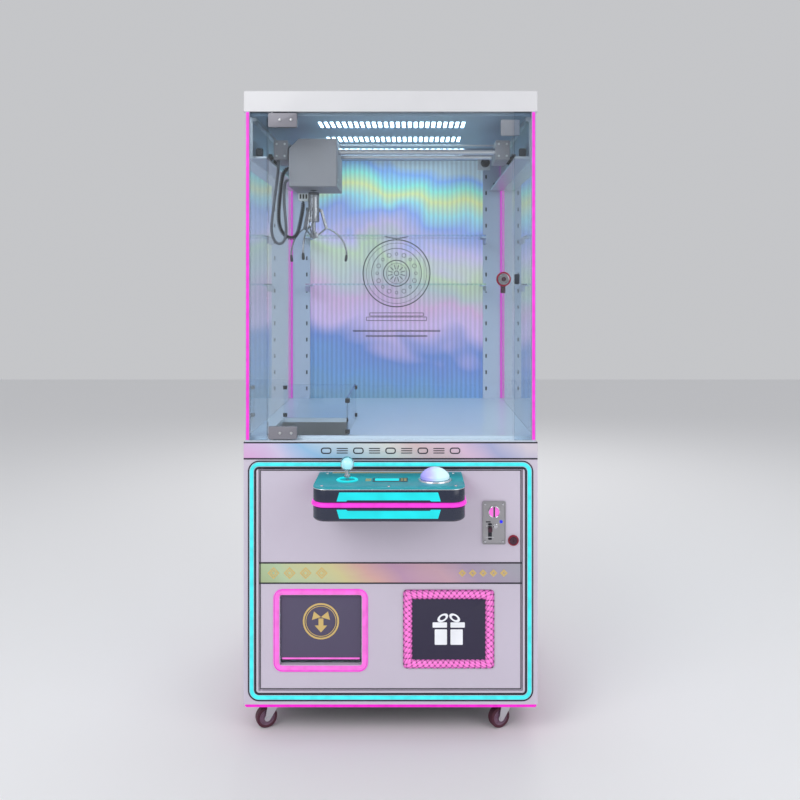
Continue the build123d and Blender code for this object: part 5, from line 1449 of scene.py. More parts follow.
        # Painted shadow: a dark slab stands for the shadow in the return pocket.
        entry.slab(Axis.Y, (0.2785, y - 0.0031, 0.566), (0.2895, y - 0.0026, 0.614), 0.003, 0.0001, 2)
        MAKER.piece("coin_entry", entry, [CHROME, PALE_PINK, INK_AND_PAINTED_SHADE, BLUE_LED], "front_door")
        low, high = corners("coin_return_lever")
        lever = Shape()
        lever.slab(
            Axis.Y, (0.278, low[1], low[2] + 0.001), (0.290, low[1] + 0.0118, high[2]), 0.003, 0.0018, 0
        )
        lever.slab(
            Axis.Y, (0.2815, low[1] + 0.008, low[2] + 0.002), (0.2865, high[1] - 0.004, high[2] - 0.001),
            0.001, 0.0004, 0,
        )
        lever.slab(Axis.Y, (low[0], high[1] - 0.006, low[2]), (high[0], high[1], high[2]), 0.001, 0.0004, 0)
        MAKER.piece("coin_lever", lever, [PLUG], "coin_return_lever", ("coin_return_lever",))

    def lock(self) -> None:
        """Cam lock of the door: a collar on the door and the turning plug."""
        x, z, y = 0.351, 0.564, self.face
        collar = mm((11.6, 0), (15.5, 0), (15.5, 2.2), (14.2, 4.5), (12.2, 5), (11.6, 4.4), (11.6, 0))
        shape = Shape().turned(collar, (x, y, z), Axis.Y, 40, 0, -1)
        MAKER.piece("door_lock_collar", shape, [RED], "front_door")
        dress(PLUG, "front_lock")

    def rear(self) -> None:
        """Louvre hoods over the rear door's vents, its pull and its screws."""
        y = corners("rear_door")[1][1]
        hardware = Shape()
        screw_heads(
            hardware, [(sx * 0.345, y - 0.0030, z) for sx in (-1, 1) for z in (0.165, 0.740)], Axis.Y,
            0.004, 1, 1,
        )
        cup = np.array(
            [
                (0.0, y - 0.0006), (0.001, y - 0.0001), (0.004, y - 0.0001), (0.005, y - 0.004),
                (0.0045, y - 0.004), (0.0, y - 0.001),
            ],
        )
        hardware.outline_ring(Axis.Y, (-0.310, 0, 0.452), (0.045, 0.014), 0.010, cup, 0, 8)
        for row in range(8):
            for side in (-1, 1):
                z = 0.250 + row * 0.022
                hardware.slab(
                    Axis.X, (side * 0.180 - 0.069, y - 0.012, z + 0.0045),
                    (side * 0.180 + 0.069, y - 0.0006, z + 0.0078), 0.001, 0.0005, 2,
                )
        MAKER.piece("rear_door_hardware", hardware, [BLACK, ZINC, DARK_COAT], "rear_door")


@dataclass
class ControlBox:
    """Control box: rounded shell, light panels, band, top plate, joystick and button."""

    wall: float = 0.004
    radius: float = 0.038
    screws: list = field(default_factory=list)

    def half_outline(self, half: float, front: float, radius: float, steps: int = 8) -> Array:
        """The box seen from above, open at the door: down one side, round both front corners and back."""
        turn = np.linspace(0, pi / 2, steps)
        left = np.stack(
            [-half + radius - radius * np.cos(turn), front + radius - radius * np.sin(turn)], axis=-1
        )
        right = np.stack(
            [half - radius + radius * np.sin(turn), front + radius - radius * np.cos(turn)], axis=-1
        )
        back = self.face
        return np.vstack([[(half, back)], [(-half, back)], left, right])

    def shell(
        self, shape: Shape, half: float, front: float, levels: list, radius: float, finish: int = 0
    ) -> Shape:
        """Stack the outline at (height, inset) levels and close it."""
        rings = [
            self.half_outline(half - inset, front + inset, max(radius - inset, 0.002))
            for _, inset in levels
        ]
        heights = np.repeat(np.array([z for z, _ in levels])[:, None], len(rings[0]), axis=1)
        return shape.grid(on_axis(Axis.Z, np.array(rings)[:, ::-1], heights), finish=finish)

    def build(self) -> None:
        """Make every piece of the box."""
        self.face = corners("front_door")[0][1]
        low, high = corners("control_box")
        self.low, self.high = low, high
        half, front = high[0], low[1]
        plate_z, top = high[2], high[2] + 0.006
        body = Shape()
        self.shell(
            body,
            half,
            front,
            [
                (low[2], 0.0065),
                (low[2] + 0.002, 0.0032),
                (low[2] + 0.0065, 0.0),
                (0.7045, 0.0),
                (0.7062, 0.003),
                (0.7198, 0.003),
                (0.7215, 0.0),
                (plate_z - 0.0012, 0.0),
                (plate_z, 0.0008),
            ],
            self.radius,
        )
        MAKER.piece("control_shell", body, [NAVY], "front_door", ("control_box",))
        self.panels(front)
        self.band()
        self.top(half, front, plate_z, top)
        self.stick(top)
        self.button()

    def panels(self, front: float) -> None:
        """The two cyan light panels: flat trapezoids with a step at the side of the band."""
        shape = Shape()
        for sign, edge, far in ((1, 0.7240, 0.7475), (-1, 0.7020, 0.6785)):
            outline = np.array(
                [
                    (edge, -0.137),
                    (edge, -0.112),
                    (edge + sign * 0.003, -0.108),
                    (edge + sign * 0.003, 0.108),
                    (edge, 0.112),
                    (edge, 0.137),
                    (far, 0.130),
                    (far, -0.130),
                ]
            )
            shape.prism(Axis.Y, outline, front - 0.0012, front + 0.0006)
        MAKER.piece("control_light_panels", shape, [CYAN_PANEL], "front_door", bevel=0.0004)

    def band(self) -> None:
        """The magenta tube round the box: a half-round section carried along the outline."""
        low, high = self.low, self.high
        outline = self.half_outline(high[0] - 0.003, low[1] + 0.003, self.radius - 0.003, 12)[1:]
        path = np.vstack([outline, [(high[0] - 0.003, self.face)]])
        run = np.gradient(path, axis=0)
        run /= np.linalg.norm(run, axis=1)[:, None]
        outward = np.stack([run[:, 1], -run[:, 0]], axis=-1)
        turn = np.linspace(0, pi, 9)
        surface = np.zeros((len(path), 11, 3))
        reach = np.concatenate([0.0080 * np.sin(turn), [-0.0005, -0.0005]])
        rise = np.concatenate([0.0062 * np.cos(turn), [-0.0062, 0.0062]])
        surface[..., :2] = path[:, None, :] + outward[:, None, :] * reach[None, :, None]
        surface[..., 2] = 0.713 + rise[None, :]
        MAKER.piece(
            "control_band", Shape().grid(surface), [PINK_GLOW], "front_door",
            ("door_neon",),
        )

    def top(self, half: float, front: float, plate_z: float, top: float) -> None:
        """Back-printed top plate with a polished edge, the display strip, rings and screws."""
        plate = Shape()
        self.shell(
            plate, half, front,
            [(plate_z, 0.0), (top - 0.0018, 0.0), (top - 0.0006, 0.0006), (top, 0.0018)], self.radius,
        )
        rim = Shape()
        outline = self.half_outline(half - 0.0002, front + 0.0002, self.radius, 12)[1:]
        path = np.vstack([outline, [(half - 0.0002, self.face)]])
        rim_path = np.column_stack([path, np.full(len(path), plate_z + 0.0004)])
        rim.tube(rim_path, 0.0009, (0, 0, 1), 8)
        MAKER.piece("control_top_plate", plate, [TEAL], "front_door", ("control_top",))
        MAKER.piece("control_top_edge", rim, [SILVER_LINE], "front_door")
        y0, y1 = self.face - 0.122, self.face - 0.078
        display = Shape()
        display.slab(Axis.Z, (-0.046, y0, top - 0.0004), (0.050, y1, top + 0.0008), 0.003, 0.0003, 0)
        display.slab(
            Axis.Z, (-0.040, y0 + 0.008, top + 0.0006), (0.026, y1 - 0.008, top + 0.0012), 0.002, 0.0003, 1
        )
        for k in range(2):
            for j in range(3):
                x, y = 0.031 + k * 0.009, y0 + 0.009 + j * 0.010
                display.slab(
                    Axis.Z, (x, y, top + 0.0006), (x + 0.006, y + 0.007, top + 0.0012), 0.001, 0.0003, 2
                )
        for k in range(3):
            y = y0 + 0.010 + k * 0.010
            display.slab(
                Axis.Z, (-0.066, y, top - 0.0004), (-0.050, y + 0.005, top + 0.0006), 0.001, 0.0002, 2
            )
        display.slab(
            Axis.Z, (-0.165, self.face - 0.016, top - 0.0004), (0.165, self.face - 0.006, top + 0.0004),
            0.002, 0.0002, 2,
        )
        MAKER.piece("control_display", display, [NAVY, CYAN_PANEL, GOLD], "front_door")
        screws = [
            (x, y, top) for x in (-0.178, 0.178) for y in (self.face - 0.020, front + 0.018)
        ] + [(0.0, front + 0.012, top)]
        MAKER.piece(
            "control_screws", screw_heads(Shape(), screws, Axis.Z, 0.004), [CHROME], "front_door"
        )
        rings = Shape()
        stick = (-0.116, self.face - 0.100, top)
        base = mm((22.2, -4), (22.2, 2), (24, 3.5), (28, 3), (30, 0.8), (30, -1), (22.2, -4))
        rings.turned(base, stick, Axis.Z, 48, 0)
        bezel = mm((40.4, -1), (40.4, 3.4), (41.5, 4), (45, 3.6), (46.3, 1.4), (46.3, -1), (40.4, -1))
        rings.turned(bezel, (0.124, self.face - 0.100, top), Axis.Z, 56, 1)
        well = mm((22.2, -0.4), (22.1, -1.2), (8, -1.2), (7.8, -0.4))
        rings.turned(well, stick, Axis.Z, 40, 2)
        MAKER.piece(
            "control_rings", rings, [CYAN_PANEL, SILVER_LINE, INK_AND_PAINTED_SHADE], "front_door"
        )

    def stick(self, top: float) -> None:
        """Joystick: clear ball with a lit core, chrome shaft and trunnion. The gimbal keeps its shape."""
        low, high = corners("joystick")
        x, y = -0.116, self.face - 0.100
        ball_z = high[2] - 0.019
        angles = np.linspace(-pi / 2 + 0.03, pi / 2 - 0.03, 22)
        ball = np.stack([0.019 * np.cos(angles), 0.019 * np.sin(angles)], axis=-1)
        shape = Shape().turned(ball, (x, y, ball_z), Axis.Z, 40, 0)
        MAKER.piece("joystick_ball", shape, [BALL_CLEAR], "joystick", ("joystick",))
        core = Shape()
        core_ball = np.stack([0.0105 * np.cos(angles), 0.0105 * np.sin(angles)], axis=-1)
        core.turned(core_ball, (x, y, ball_z), Axis.Z, 28, 1)
        shaft = [
            (0.0044, low[2] - top + 0.001), (0.0044, 0.001), (0.0044, 0.006), (0.0088, 0.008),
            (0.0088, 0.013), (0.0062, 0.016), (0.0058, 0.032), (0.0030, 0.034),
        ]
        core.turned(shaft, (x, y, top), Axis.Z, 28, 0)
        trunnion = mm((3, 0), (3, 35))
        core.turned(trunnion, (x, y - 0.0175, 0.742), Axis.Y, 16, 0)
        MAKER.piece("joystick_shaft", core, [CHROME, BALL_GLOW], "joystick")
        dress(BLACK, "joystick_gimbal")

    def button(self) -> None:
        """Push button: a milky dome with a step at its foot, and its stem."""
        low, high = corners("push_button")
        z0 = high[2] - 0.031
        rim, rise, radius = 0.009, 0.022, 0.040
        sphere = (radius**2 + rise**2) / (2 * rise)
        angle = np.linspace(asin(min(1.0, (radius - 0.002) / sphere)), 0.01, 14)
        dome = np.stack([sphere * np.sin(angle), rise + rim - sphere * (1 - np.cos(angle))], axis=-1)
        profile = np.vstack(
            [[(0.001, 0.0), (0.0385, 0.0), (0.0398, 0.0012), (0.0398, rim - 0.001), (0.0390, rim)], dome]
        )
        shape = Shape().turned(profile, (0.124, self.face - 0.100, z0), Axis.Z, 56, 0)
        stem = [(0.0155, low[2] - z0), (0.0155, 0.001)]
        shape.turned(stem, (0.124, self.face - 0.100, z0), Axis.Z, 32, 1)
        MAKER.piece(
            "push_button_dome", shape, [BUTTON_MILK, BLACK], "push_button",
            ("push_button",),
        )


@dataclass
class Casters:
    """Four twin-tread casters: tyre and hub of each wheel; forks keep their shape."""

    names: tuple[str, ...] = ("front_left", "front_right", "rear_left", "rear_right")

    def build(self) -> None:
        """Make each wheel along its own axle."""
        for name in self.names:
            dress(ZINC, f"caster_fork_{name}")
            joint = next(j for j in frame["joints"] if j["name"] == f"caster_roll_{name}")
            origin, axis = np.array(joint["pos_m"]), np.array(joint["axis"])
            heading = degrees(atan2(-axis[0], axis[1]))
            wheel = Shape()
            tyre = mm((22.2, -10.5), (27.2, -11.8), (29.6, -10.6), (30.8, -7.8), (31, -3))
            tyre += mm((30.3, -1.2), (30.3, 1.2)) + [(r, -h) for r, h in tyre[::-1]] + [(0.0222, -0.0105)]
            wheel.turned(tyre, (0, 0, 0), Axis.Y, 48, 0)
            hub = mm((4.2, -11.2), (8.5, -11.2), (9.5, -8.5), (18.5, -7.5), (21.2, -10.2), (22.4, -10.2))
            hub += [(r, -h) for r, h in hub[::-1]] + [hub[0]]
            wheel.turned(hub, (0, 0, 0), Axis.Y, 40, 1)
            for k in range(6):
                rib = Shape().slab(
                    Axis.Y, (0.0092, -0.0096, -0.0011), (0.0200, 0.0096, 0.0011), 0.0005, 0.0005, 1
                )
                a = k * pi / 3
                spin = np.array([[cos(a), 0, sin(a)], [0, 1, 0], [-sin(a), 0, cos(a)]])
                wheel.join(rib.moved(spin, (0, 0, 0)))
            wheel.moved(about_z(heading), origin)
            MAKER.piece(
                f"caster_tread_{name}", wheel, [TYRE, HUB], f"caster_wheel_{name}",
                (f"caster_wheel_{name}",),
            )


@dataclass
class Gantry:
    """Bridge, carriage, winch and the cords that hang in the play area."""

    claw_x: float = -0.243
    claw_y: float = -0.140

    def build(self) -> None:
        """Make the moving frame above the play area."""
        self.bridge()
        self.carriage()
        self.winch()
        self.cords()

    def bridge(self) -> None:
        """Two polished tubes between the end blocks, with rollers, bolts and a toothed-belt cover."""
        rods = Shape()
        for y in (-0.185, -0.095):
            profile = mm((9.5, -313.5), (10, -313), (10, 313), (9.5, 313.5))
            rods.turned(profile, (0, y, 1.700), Axis.X, 32, 0)
        MAKER.piece("bridge_tubes", rods, [CHROME], "bridge", ("bridge",))
        blocks = Shape()
        for side in (-1, 1):
            x0, x1 = sorted((side * 0.313, side * 0.356))
            blocks.slab(Axis.Y, (x0, -0.205, 1.673), (x1, -0.075, 1.731), 0.003, 0.0015, 0)
            for y in (-0.187, -0.093):
                profile = mm((4.2, 0), (4.2, 7), (10.5, 7.2), (11.8, 8.5), (12, 18), (10.5, 18.8))
                profile += mm((4.2, 19.2), (3.6, 20.5), (0.4, 20.7))
                blocks.turned(profile, (side * 0.356, y, 1.6803), Axis.X, 28, 1, side)
            places = [(side * 0.3345 + dx, -0.205, z) for dx in (-0.012, 0.012) for z in (1.684, 1.720)]
            screw_heads(blocks, places, Axis.Y, 0.0035, -1, 2)
        blocks.slab(Axis.X, (-0.312, -0.1465, 1.7245), (0.312, -0.1335, 1.7285), 0.001, 0.0005, 3)
        MAKER.piece("bridge_blocks", blocks, [GREY_COAT, BLACK, ZINC, SATIN], "bridge")

    def carriage(self) -> None:
        """The grey sheet-metal cover of the carriage with its cut corner, bevelled edges and cover screws."""
        low, high = corners("carriage")
        cut = 0.030
        outline = np.array(
            [
                (low[2], low[0]),
                (low[2], high[0]),
                (high[2], high[0]),
                (high[2], low[0] + cut),
                (high[2] - cut, low[0]),
            ]
        )
        cover = Shape().prism(Axis.Y, outline, low[1], high[1])
        MAKER.piece(
            "carriage_cover", cover, [GREY_COAT], "carriage", ("carriage",), bevel=0.002
        )
        detail = Shape()
        detail.slab(
            Axis.X, (high[0] - 0.0002, low[1] + 0.012, low[2] + 0.014),
            (high[0] + 0.0012, high[1] - 0.012, high[2] - 0.014), 0.003, 0.0005, 0,
        )
        screws = [
            (high[0] + 0.0012, y, z)
            for y in (low[1] + 0.020, high[1] - 0.020) for z in (low[2] + 0.022, high[2] - 0.022)
        ]
        screw_heads(detail, screws, Axis.X, 0.0032, 1, 1)
        gland = mm((10.5, 0), (10.5, 1), (8.5, 1.4), (3.5, 1.6), (3.5, 0))
        detail.turned(gland + [gland[0]], (self.claw_x, self.claw_y, low[2]), Axis.Z, 28, 2, -1)
        MAKER.piece("carriage_details", detail, [GREY_COAT, ZINC, BLACK], "carriage")

    def winch(self) -> None:
        """The winch drum with its wound line, inside the carriage."""
        low, high = corners("winch_drum")
        centre = (low + high) / 2
        half = (high[0] - low[0]) / 2
        drum = Shape()
        profile = [(0.0042, -half), (0.0258, -half), (0.0258, -half + 0.0028), (0.0196, -half + 0.003)]
        profile += [
            (0.0196, half - 0.003), (0.0258, half - 0.0028), (0.0258, half), (0.0042, half), (0.0042, -half)
        ]
        drum.turned(profile, centre, Axis.X, 40, 0)
        turns = np.linspace(0, 2 * pi * 14, 14 * 20)
        along = np.linspace(-half + 0.005, half - 0.005, len(turns))
        wound = np.stack([along, 0.0204 * np.cos(turns), 0.0204 * np.sin(turns)], axis=-1) + centre
        drum.tube(wound, 0.0009, (1, 0, 0), 6, finish=1)
        MAKER.piece("winch_reel", drum, [BLACK, BRAID], "winch_drum", ("winch_drum",))

    @staticmethod
    def route(points: list, name: str, count: int) -> Array:
        """Points along the smooth line of a route.

        Args:
            points: the route's control points.
            name: name for the working curve.
            count: points wanted along the line.

        Returns:
            Evenly spaced points of the NURBS line that those control points steer.
        """
        data = bpy.data.curves.new(name, "CURVE")
        data.dimensions = "3D"
        data.resolution_u = 24
        spline = data.splines.new("NURBS")
        spline.points.add(len(points) - 1)
        spline.points.foreach_set("co", np.column_stack([points, np.ones(len(points))]).ravel())
        spline.order_u = 3
        spline.use_endpoint_u = True
        holder = bpy.data.objects.new(name, data)
        bpy.context.scene.collection.objects.link(holder)
        bpy.context.view_layer.update()
        mesh = bpy.data.meshes.new_from_object(holder)
        line = np.zeros(len(mesh.vertices) * 3)
        mesh.vertices.foreach_get("co", line)
        line = line.reshape(-1, 3)
        bpy.data.meshes.remove(mesh)
        bpy.data.objects.remove(holder)
        run = np.concatenate([[0], np.cumsum(np.linalg.norm(np.diff(line, axis=0), axis=1))])
        at = np.linspace(0, run[-1], count)
        return np.stack([np.interp(at, run, line[:, i]) for i in range(3)], axis=-1)

    def cords(self) -> None:
        """The curly claw cord, the supply hose and the hoist line."""
        claw_route = mm(
            (-306, -150, 1655), (-322, -150, 1655), (-335, -150, 1643), (-341, -149, 1618),
            (-345, -148, 1580), (-350, -147, 1532), (-351, -146, 1496), (-346, -145, 1468),
            (-331, -144, 1446), (-309, -143, 1438), (-293, -142, 1452), (-287, -141, 1478),
            (-281, -140, 1508), (-276, -140, 1534), (-276, -140, 1558),
        )
        turns, per_turn, wire = 66, 16, 0.0037
        line = self.route(claw_route, "claw_cord_line", turns * per_turn + 1)
        _, side, up = frames_along(line, np.array((0.0, 1.0, 0.0)))
        angle = np.linspace(0, 2 * pi * turns, len(line))[:, None]
        ease = np.clip(
            np.minimum(np.linspace(0, 30, len(line)), np.linspace(30, 0, len(line))), 0, 1
        )[:, None]
        helix = line + 0.0050 * ease * (np.cos(angle) * side + np.sin(angle) * up)
        tangent = np.gradient(helix, axis=0)
        tangent /= np.linalg.norm(tangent, axis=1)[:, None]
        outward = np.cos(angle) * side + np.sin(angle) * up
        binormal = np.cross(tangent, outward)
        binormal /= np.linalg.norm(binormal, axis=1)[:, None]
        normal = np.cross(binormal, tangent)
        ring = circle_outline(wire / 2, 8)
        offset = ring[None, :, :1] * normal[:, None, :] + ring[None, :, 1:] * binormal[:, None, :]
        surface = helix[:, None, :] + offset
        curly = MAKER.piece(
            "claw_curly_cord", Shape().grid(surface), [CORD_BLACK], None, ("claw_cord",),
            sharp=80,
        )
        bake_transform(curly)
        hose_route = mm(
            (-344, -190, 1673), (-344, -190, 1645), (-349, -191, 1605), (-356, -191, 1550),
            (-363, -192, 1496), (-365, -192, 1462), (-361, -192, 1438), (-350, -192, 1422),
            (-336, -192, 1419), (-325, -192, 1430), (-320, -191, 1452), (-322, -190, 1490),
            (-327, -189, 1535), (-327, -188, 1580), (-325, -188, 1602), (-320, -188, 1614),
            (-306, -188, 1614),
        )
        hose_line = self.route(hose_route, "hose_line", 361)
        ribs = 0.0043 + 0.00035 * np.cos(np.arange(len(hose_line)) * 2 * pi / 3)
        hose_shape = Shape().tube(hose_line, ribs, (0, 1, 0), 16)
        hose = MAKER.piece(
            "supply_hose_sheath", hose_shape, [HOSE_GREY], None, ("supply_hose",), sharp=80
        )
        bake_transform(hose)
        low, high = corners("hoist_cord")
        count = 121
        heights = np.linspace(high[2], low[2], count)
        middle = np.column_stack([np.full(count, self.claw_x), np.full(count, self.claw_y), heights])
        strands = Shape()
        for k in range(3):
            angle = np.linspace(0, 2 * pi * 9, count) + k * 2 * pi / 3
            strand = middle + 0.00048 * np.column_stack([np.cos(angle), np.sin(angle), np.zeros(count)])
            strands.tube(strand, 0.0005, (0, 1, 0), 6)
        hoist = MAKER.piece("hoist_line", strands, [BRAID], None, ("hoist_cord",), sharp=80)
        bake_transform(hoist)


@dataclass
class Claw:
    """Coil housing, collar, plunger hub, three links and three curved fingers."""

    azimuths: tuple[float, ...] = (19.5, 139.5, 259.5)
    x: float = -0.243
    y: float = -0.140

    def build(self) -> None:
        """Make the claw's pieces round its axis."""
        self.coil()
        self.plunger()
        for number, azimuth in enumerate(self.azimuths, start=1):
            self.finger(number, azimuth)
            self.link(number, azimuth)

    def coil(self) -> None:
        """The chrome coil housing with rolled ends, the collar with its lugs, and the cord's socket."""
        low, high = corners("claw_coil")
        shape = Shape()
        z0, z1 = low[2], high[2]
        body = mm((6.6, 0), (15, 0), (16.6, 1), (17, 2.6), (17, 25))
        top = z1 - z0
        body += [
            (0.0170, top - 0.016), (0.0164, top - 0.0152), (0.0164, top - 0.0138), (0.0170, top - 0.0130)
        ]
        body += [(0.0170, top - 0.0022), (0.0160, top - 0.0006), (0.0140, top), (0.0004, top)]
        body += [(0.0004, top - 0.0230), (0.0066, top - 0.0230), (0.0066, 0.0)]
        shape.turned(body, (self.x, self.y, z0), Axis.Z, 48, 0)
        collar = mm((16.8, -7), (18.4, -7), (19, -6.2), (19, 6.2), (18.4, 7), (16.8, 7), (16.8, -7))
        shape.turned(collar, (self.x, self.y, 1.527), Axis.Z, 48, 0)
        for azimuth in self.azimuths:
            lug = Shape().slab(Axis.Y, (0.016, -0.002, -0.004), (0.027, 0.002, 0.004), 0.003, 0.0003, 0)
            pin = mm((1, 0), (1.5, 0.3), (1.5, 11.7), (1, 12))
            lug.turned(pin, (0.024, -0.006, 0.0), Axis.Y, 14, 0)
            shape.join(lug.moved(about_z(azimuth), (self.x, self.y, 1.527)))
        socket = Shape()
        x1 = self.x - 0.0155
        socket.slab(
            Axis.Z, (self.x - 0.047, self.y - 0.011, z1 - 0.024), (x1, self.y + 0.011, z1 - 0.004), 0.002,
            0.001, 0,
        )
        socket.slab(
            Axis.Z, (self.x - 0.043, self.y - 0.008, z1 - 0.0275),
            (x1 - 0.002, self.y + 0.008, z1 - 0.0235), 0.002, 0.0008, 0,
        )
        for k in range(3):
            socket.slab(
                Axis.Y, (self.x - 0.042 + k * 0.009, self.y - 0.0122, z1 - 0.021),
                (self.x - 0.037 + k * 0.009, self.y - 0.010, z1 - 0.007), 0.001, 0.0004, 1,
            )
        MAKER.piece("coil_housing", shape, [CLAW_CHROME], "claw_coil", ("claw_coil",))
        MAKER.piece("coil_socket", socket, [NYLON, BLACK], "claw_coil")

    def plunger(self) -> None:
        """The sliding rod with its cone, disc and three pairs of ears."""
        _, high = corners("claw_plunger")
        shape = Shape()
        rod = mm((0.4, -8), (3, -7.8), (4, -6), (4, 8.8), (9.2, 9.2), (10, 10), (10, 13.4))
        rod += [(0.0090, 0.0142), (0.0058, 0.0150), (0.0058, high[2] - 1.446), (0.0004, high[2] - 1.446)]
        shape.turned(rod, (self.x, self.y, 1.446), Axis.Z, 36, 0)
        for azimuth in self.azimuths:
            ears = Shape()
            for side in (-1, 1):
                y0, y1 = sorted((side * 0.0028, side * 0.0048))
                ears.slab(Axis.Y, (0.002, y0, -0.005), (0.0125, y1, 0.0098), 0.003, 0.0003, 0)
            pin = mm((1, 0), (1.4, 0.3), (1.4, 10.3), (1, 10.6))
            ears.turned(pin, (0.009, -0.0053, 0.0), Axis.Y, 14, 0)
            shape.join(ears.moved(about_z(azimuth), (self.x, self.y, 1.446)))
        MAKER.piece("plunger_hub", shape, [CLAW_CHROME], "claw_plunger", ("claw_plunger",))

    def finger(self, number: int, azimuth: float) -> None:
        """A finger: a round rod from the hub's pin through the elbow, curving out and down to a dark tip.

        The path's bend is the arc through the elbow, a shoulder point and the tip, worked out as a circle
        through three points.
        """
        hub, elbow, shoulder, tip = np.array(mm((9, 1446), (40, 1472), (88, 1440), (105, 1393)))
        centre, radius = self.circle(elbow, shoulder, tip)
        start, end = (atan2(*(p - centre)[::-1]) for p in (elbow, tip))
        angles = np.linspace(start, end, 26)
        arc = centre + radius * np.stack([np.cos(angles), np.sin(angles)], axis=-1)
        lead = hub + (elbow - hub) * np.linspace(0, 1, 8)[:-1, None]
        run = np.vstack([lead, arc, mm((103.5, 1380), (102, 1371.5))])
        path = np.column_stack([run[:, 0], np.zeros(len(run)), run[:, 1]])
        widths = np.full(len(path), 0.0026)
        shape = Shape().tube(path, widths, (0, 1, 0), 14, finish=0)
        eye = mm((1.6, -2.4), (4, -2.4), (4.4, -2), (4.4, 2), (4, 2.4), (1.6, 2.4), (1.6, -2.4))
        shape.turned(eye, (hub[0], 0, hub[1]), Axis.Y, 24, 0)
        boss = mm((0.4, -2.5), (4, -2.4), (4.4, -2), (4.4, 2), (4, 2.4), (0.4, 2.5))
        shape.turned(boss, (elbow[0], 0, elbow[1]), Axis.Y, 24, 0)
        tip_path = np.array(
            mm(
                (104.8, 0, 1391), (104.2, 0, 1386), (103.4, 0, 1380), (102.4, 0, 1373.5), (102, 0, 1370.5),
                (101.8, 0, 1369),
            ),
        )
        shape.tube(
            tip_path, np.array([0.0030, 0.0040, 0.0044, 0.0044, 0.0036, 0.0012]), (0, 1, 0), 16, finish=1
        )
        shape.moved(about_z(azimuth), (self.x, self.y, 0))
        name = f"claw_finger_{number}"
        MAKER.piece(f"finger_rod_{number}", shape, [CLAW_CHROME, BLACK], name, (name,))

    def link(self, number: int, azimuth: float) -> None:
        """A link: two cheeks with round ends from the collar's pin to the elbow, and their spacer."""
        top, foot = np.array((0.024, 1.527)), np.array((0.040, 1.472))
        along = (foot - top) / np.linalg.norm(foot - top)
        across = np.array([-along[1], along[0]])
        turn = np.linspace(-pi / 2, pi / 2, 10)
        reach = 0.0036
        end = foot + reach * (np.cos(turn)[:, None] * along + np.sin(turn)[:, None] * across)
        begin = top - reach * (np.cos(turn)[:, None] * along + np.sin(turn)[:, None] * across)
        outline = np.vstack([end, begin])[:, ::-1]
        shape = Shape()
        for y0 in (-0.005, 0.003):
            shape.prism(Axis.Y, outline, y0, y0 + 0.002)
        middle = (top + foot) / 2
        shape.turned(mm((2.4, -3.6), (2.4, 3.6)), (middle[0], 0, middle[1]), Axis.Y, 16, 0)
        for side in (-1, 1):
            rivet = mm((2.4, 0), (2, 0.6), (0.4, 0.8))
            shape.turned(rivet, (foot[0], side * 0.005, foot[1]), Axis.Y, 16, 0, side)
        shape.moved(about_z(azimuth), (self.x, self.y, 0))
        name = f"claw_link_{number}"
        MAKER.piece(f"link_cheeks_{number}", shape, [CLAW_CHROME], name, (name,), bevel=0.0003)

    @staticmethod
    def circle(a: Array, b: Array, c: Array) -> tuple[Array, float]:
        """Centre and radius of the circle through three points, from the two chord bisectors."""
        matrix = 2 * np.array([b - a, c - a])
        centre = np.linalg.solve(matrix, np.array([b @ b - a @ a, c @ c - a @ a]))
        return centre, float(np.linalg.norm(a - centre))


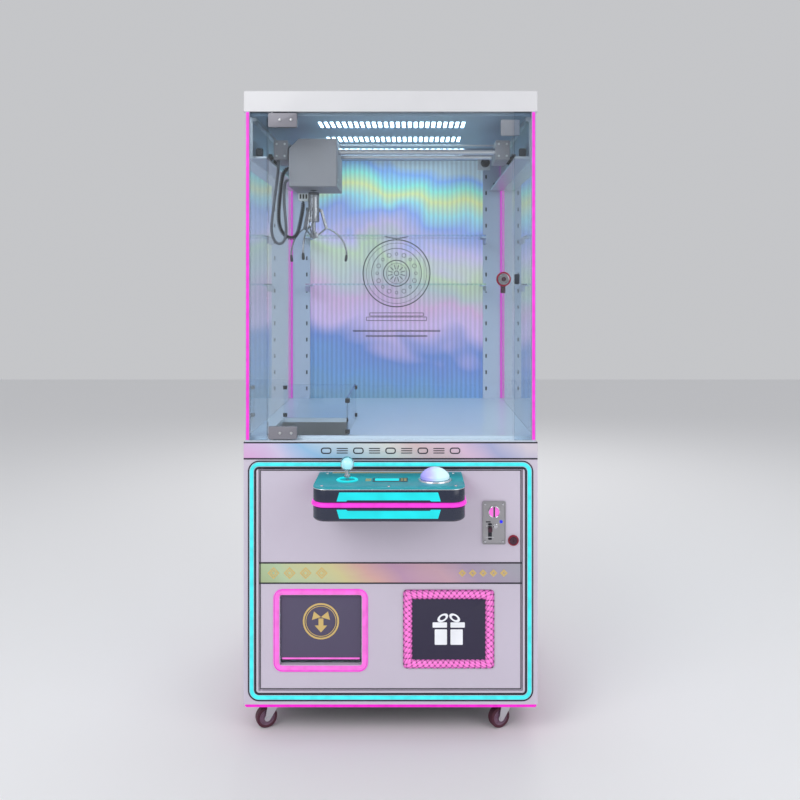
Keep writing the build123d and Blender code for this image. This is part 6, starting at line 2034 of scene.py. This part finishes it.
@dataclass
class Studio:
    """Pale floor, soft lamps and the camera."""

    distance: float = 2.33
    eye_x: float = 0.064
    eye_z: float = 1.28

    def build(self) -> None:
        """Make the floor, the lamps and the camera."""
        front = corners("front_frame")[0][1]
        mesh = bpy.data.meshes.new("studio_floor")
        mesh.from_pydata(
            mm((-9000, -9000, 0), (9000, -9000, 0), (9000, 9000, 0), (-9000, 9000, 0)), [], [(0, 1, 2, 3)]
        )
        floor = bpy.data.objects.new("studio_floor", mesh)
        bpy.context.scene.collection.objects.link(floor)
        paper = bpy.data.materials.new("floor_paper")
        paper.use_nodes = True
        paper.node_tree.nodes["Principled BSDF"].inputs["Base Color"].default_value = (0.86, 0.86, 0.87, 1)
        paper.node_tree.nodes["Principled BSDF"].inputs["Roughness"].default_value = 0.9
        mesh.materials.append(paper)
        for name, place, size, power, turn in (
            ("key", (-2.2, -3.0, 3.2), 2.4, 62, (50, 0, -36)),
            ("fill", (2.6, -2.6, 2.2), 2.4, 30, (60, 0, 45)),
            ("rear", (0.4, 3.2, 3.0), 2.6, 40, (-50, 0, 0)),
        ):
            lamp = bpy.data.lights.new(name, "AREA")
            lamp.size = size
            lamp.energy = power
            holder = bpy.data.objects.new(name, lamp)
            holder.location = place
            holder.rotation_euler = [radians(a) for a in turn]
            holder.visible_glossy = name != "rear"
            holder.visible_transmission = name != "rear"
            bpy.context.scene.collection.objects.link(holder)
        world = bpy.data.worlds.new("studio")
        world.use_nodes = True
        world.node_tree.nodes["Background"].inputs["Color"].default_value = (0.96, 0.97, 1.0, 1)
        world.node_tree.nodes["Background"].inputs["Strength"].default_value = 0.58
        bpy.context.scene.world = world
        bpy.context.scene.view_settings.view_transform = "Standard"
        lens = bpy.data.cameras.new("camera")
        lens.lens = 36.7
        lens.sensor_width = 36.0
        lens.shift_x = -0.01625
        lens.shift_y = -0.1375
        camera = bpy.data.objects.new("camera", lens)
        camera.location = (self.eye_x, front - self.distance, self.eye_z)
        camera.rotation_euler = (pi / 2, 0, 0)
        bpy.context.scene.collection.objects.link(camera)
        bpy.context.scene.camera = camera


def main() -> None:
    """Build the machine's parts in order, then the studio."""
    logging.basicConfig(level=logging.INFO)
    for part in (
        Cabinet(), Glasshouse(), GlassDoor(), ServiceDoor(), ControlBox(), Casters(), Gantry(), Claw(),
        Studio(),
    ):
        part.build()
        log.info("%s done", type(part).__name__)


if __name__ == "__main__":
    main()
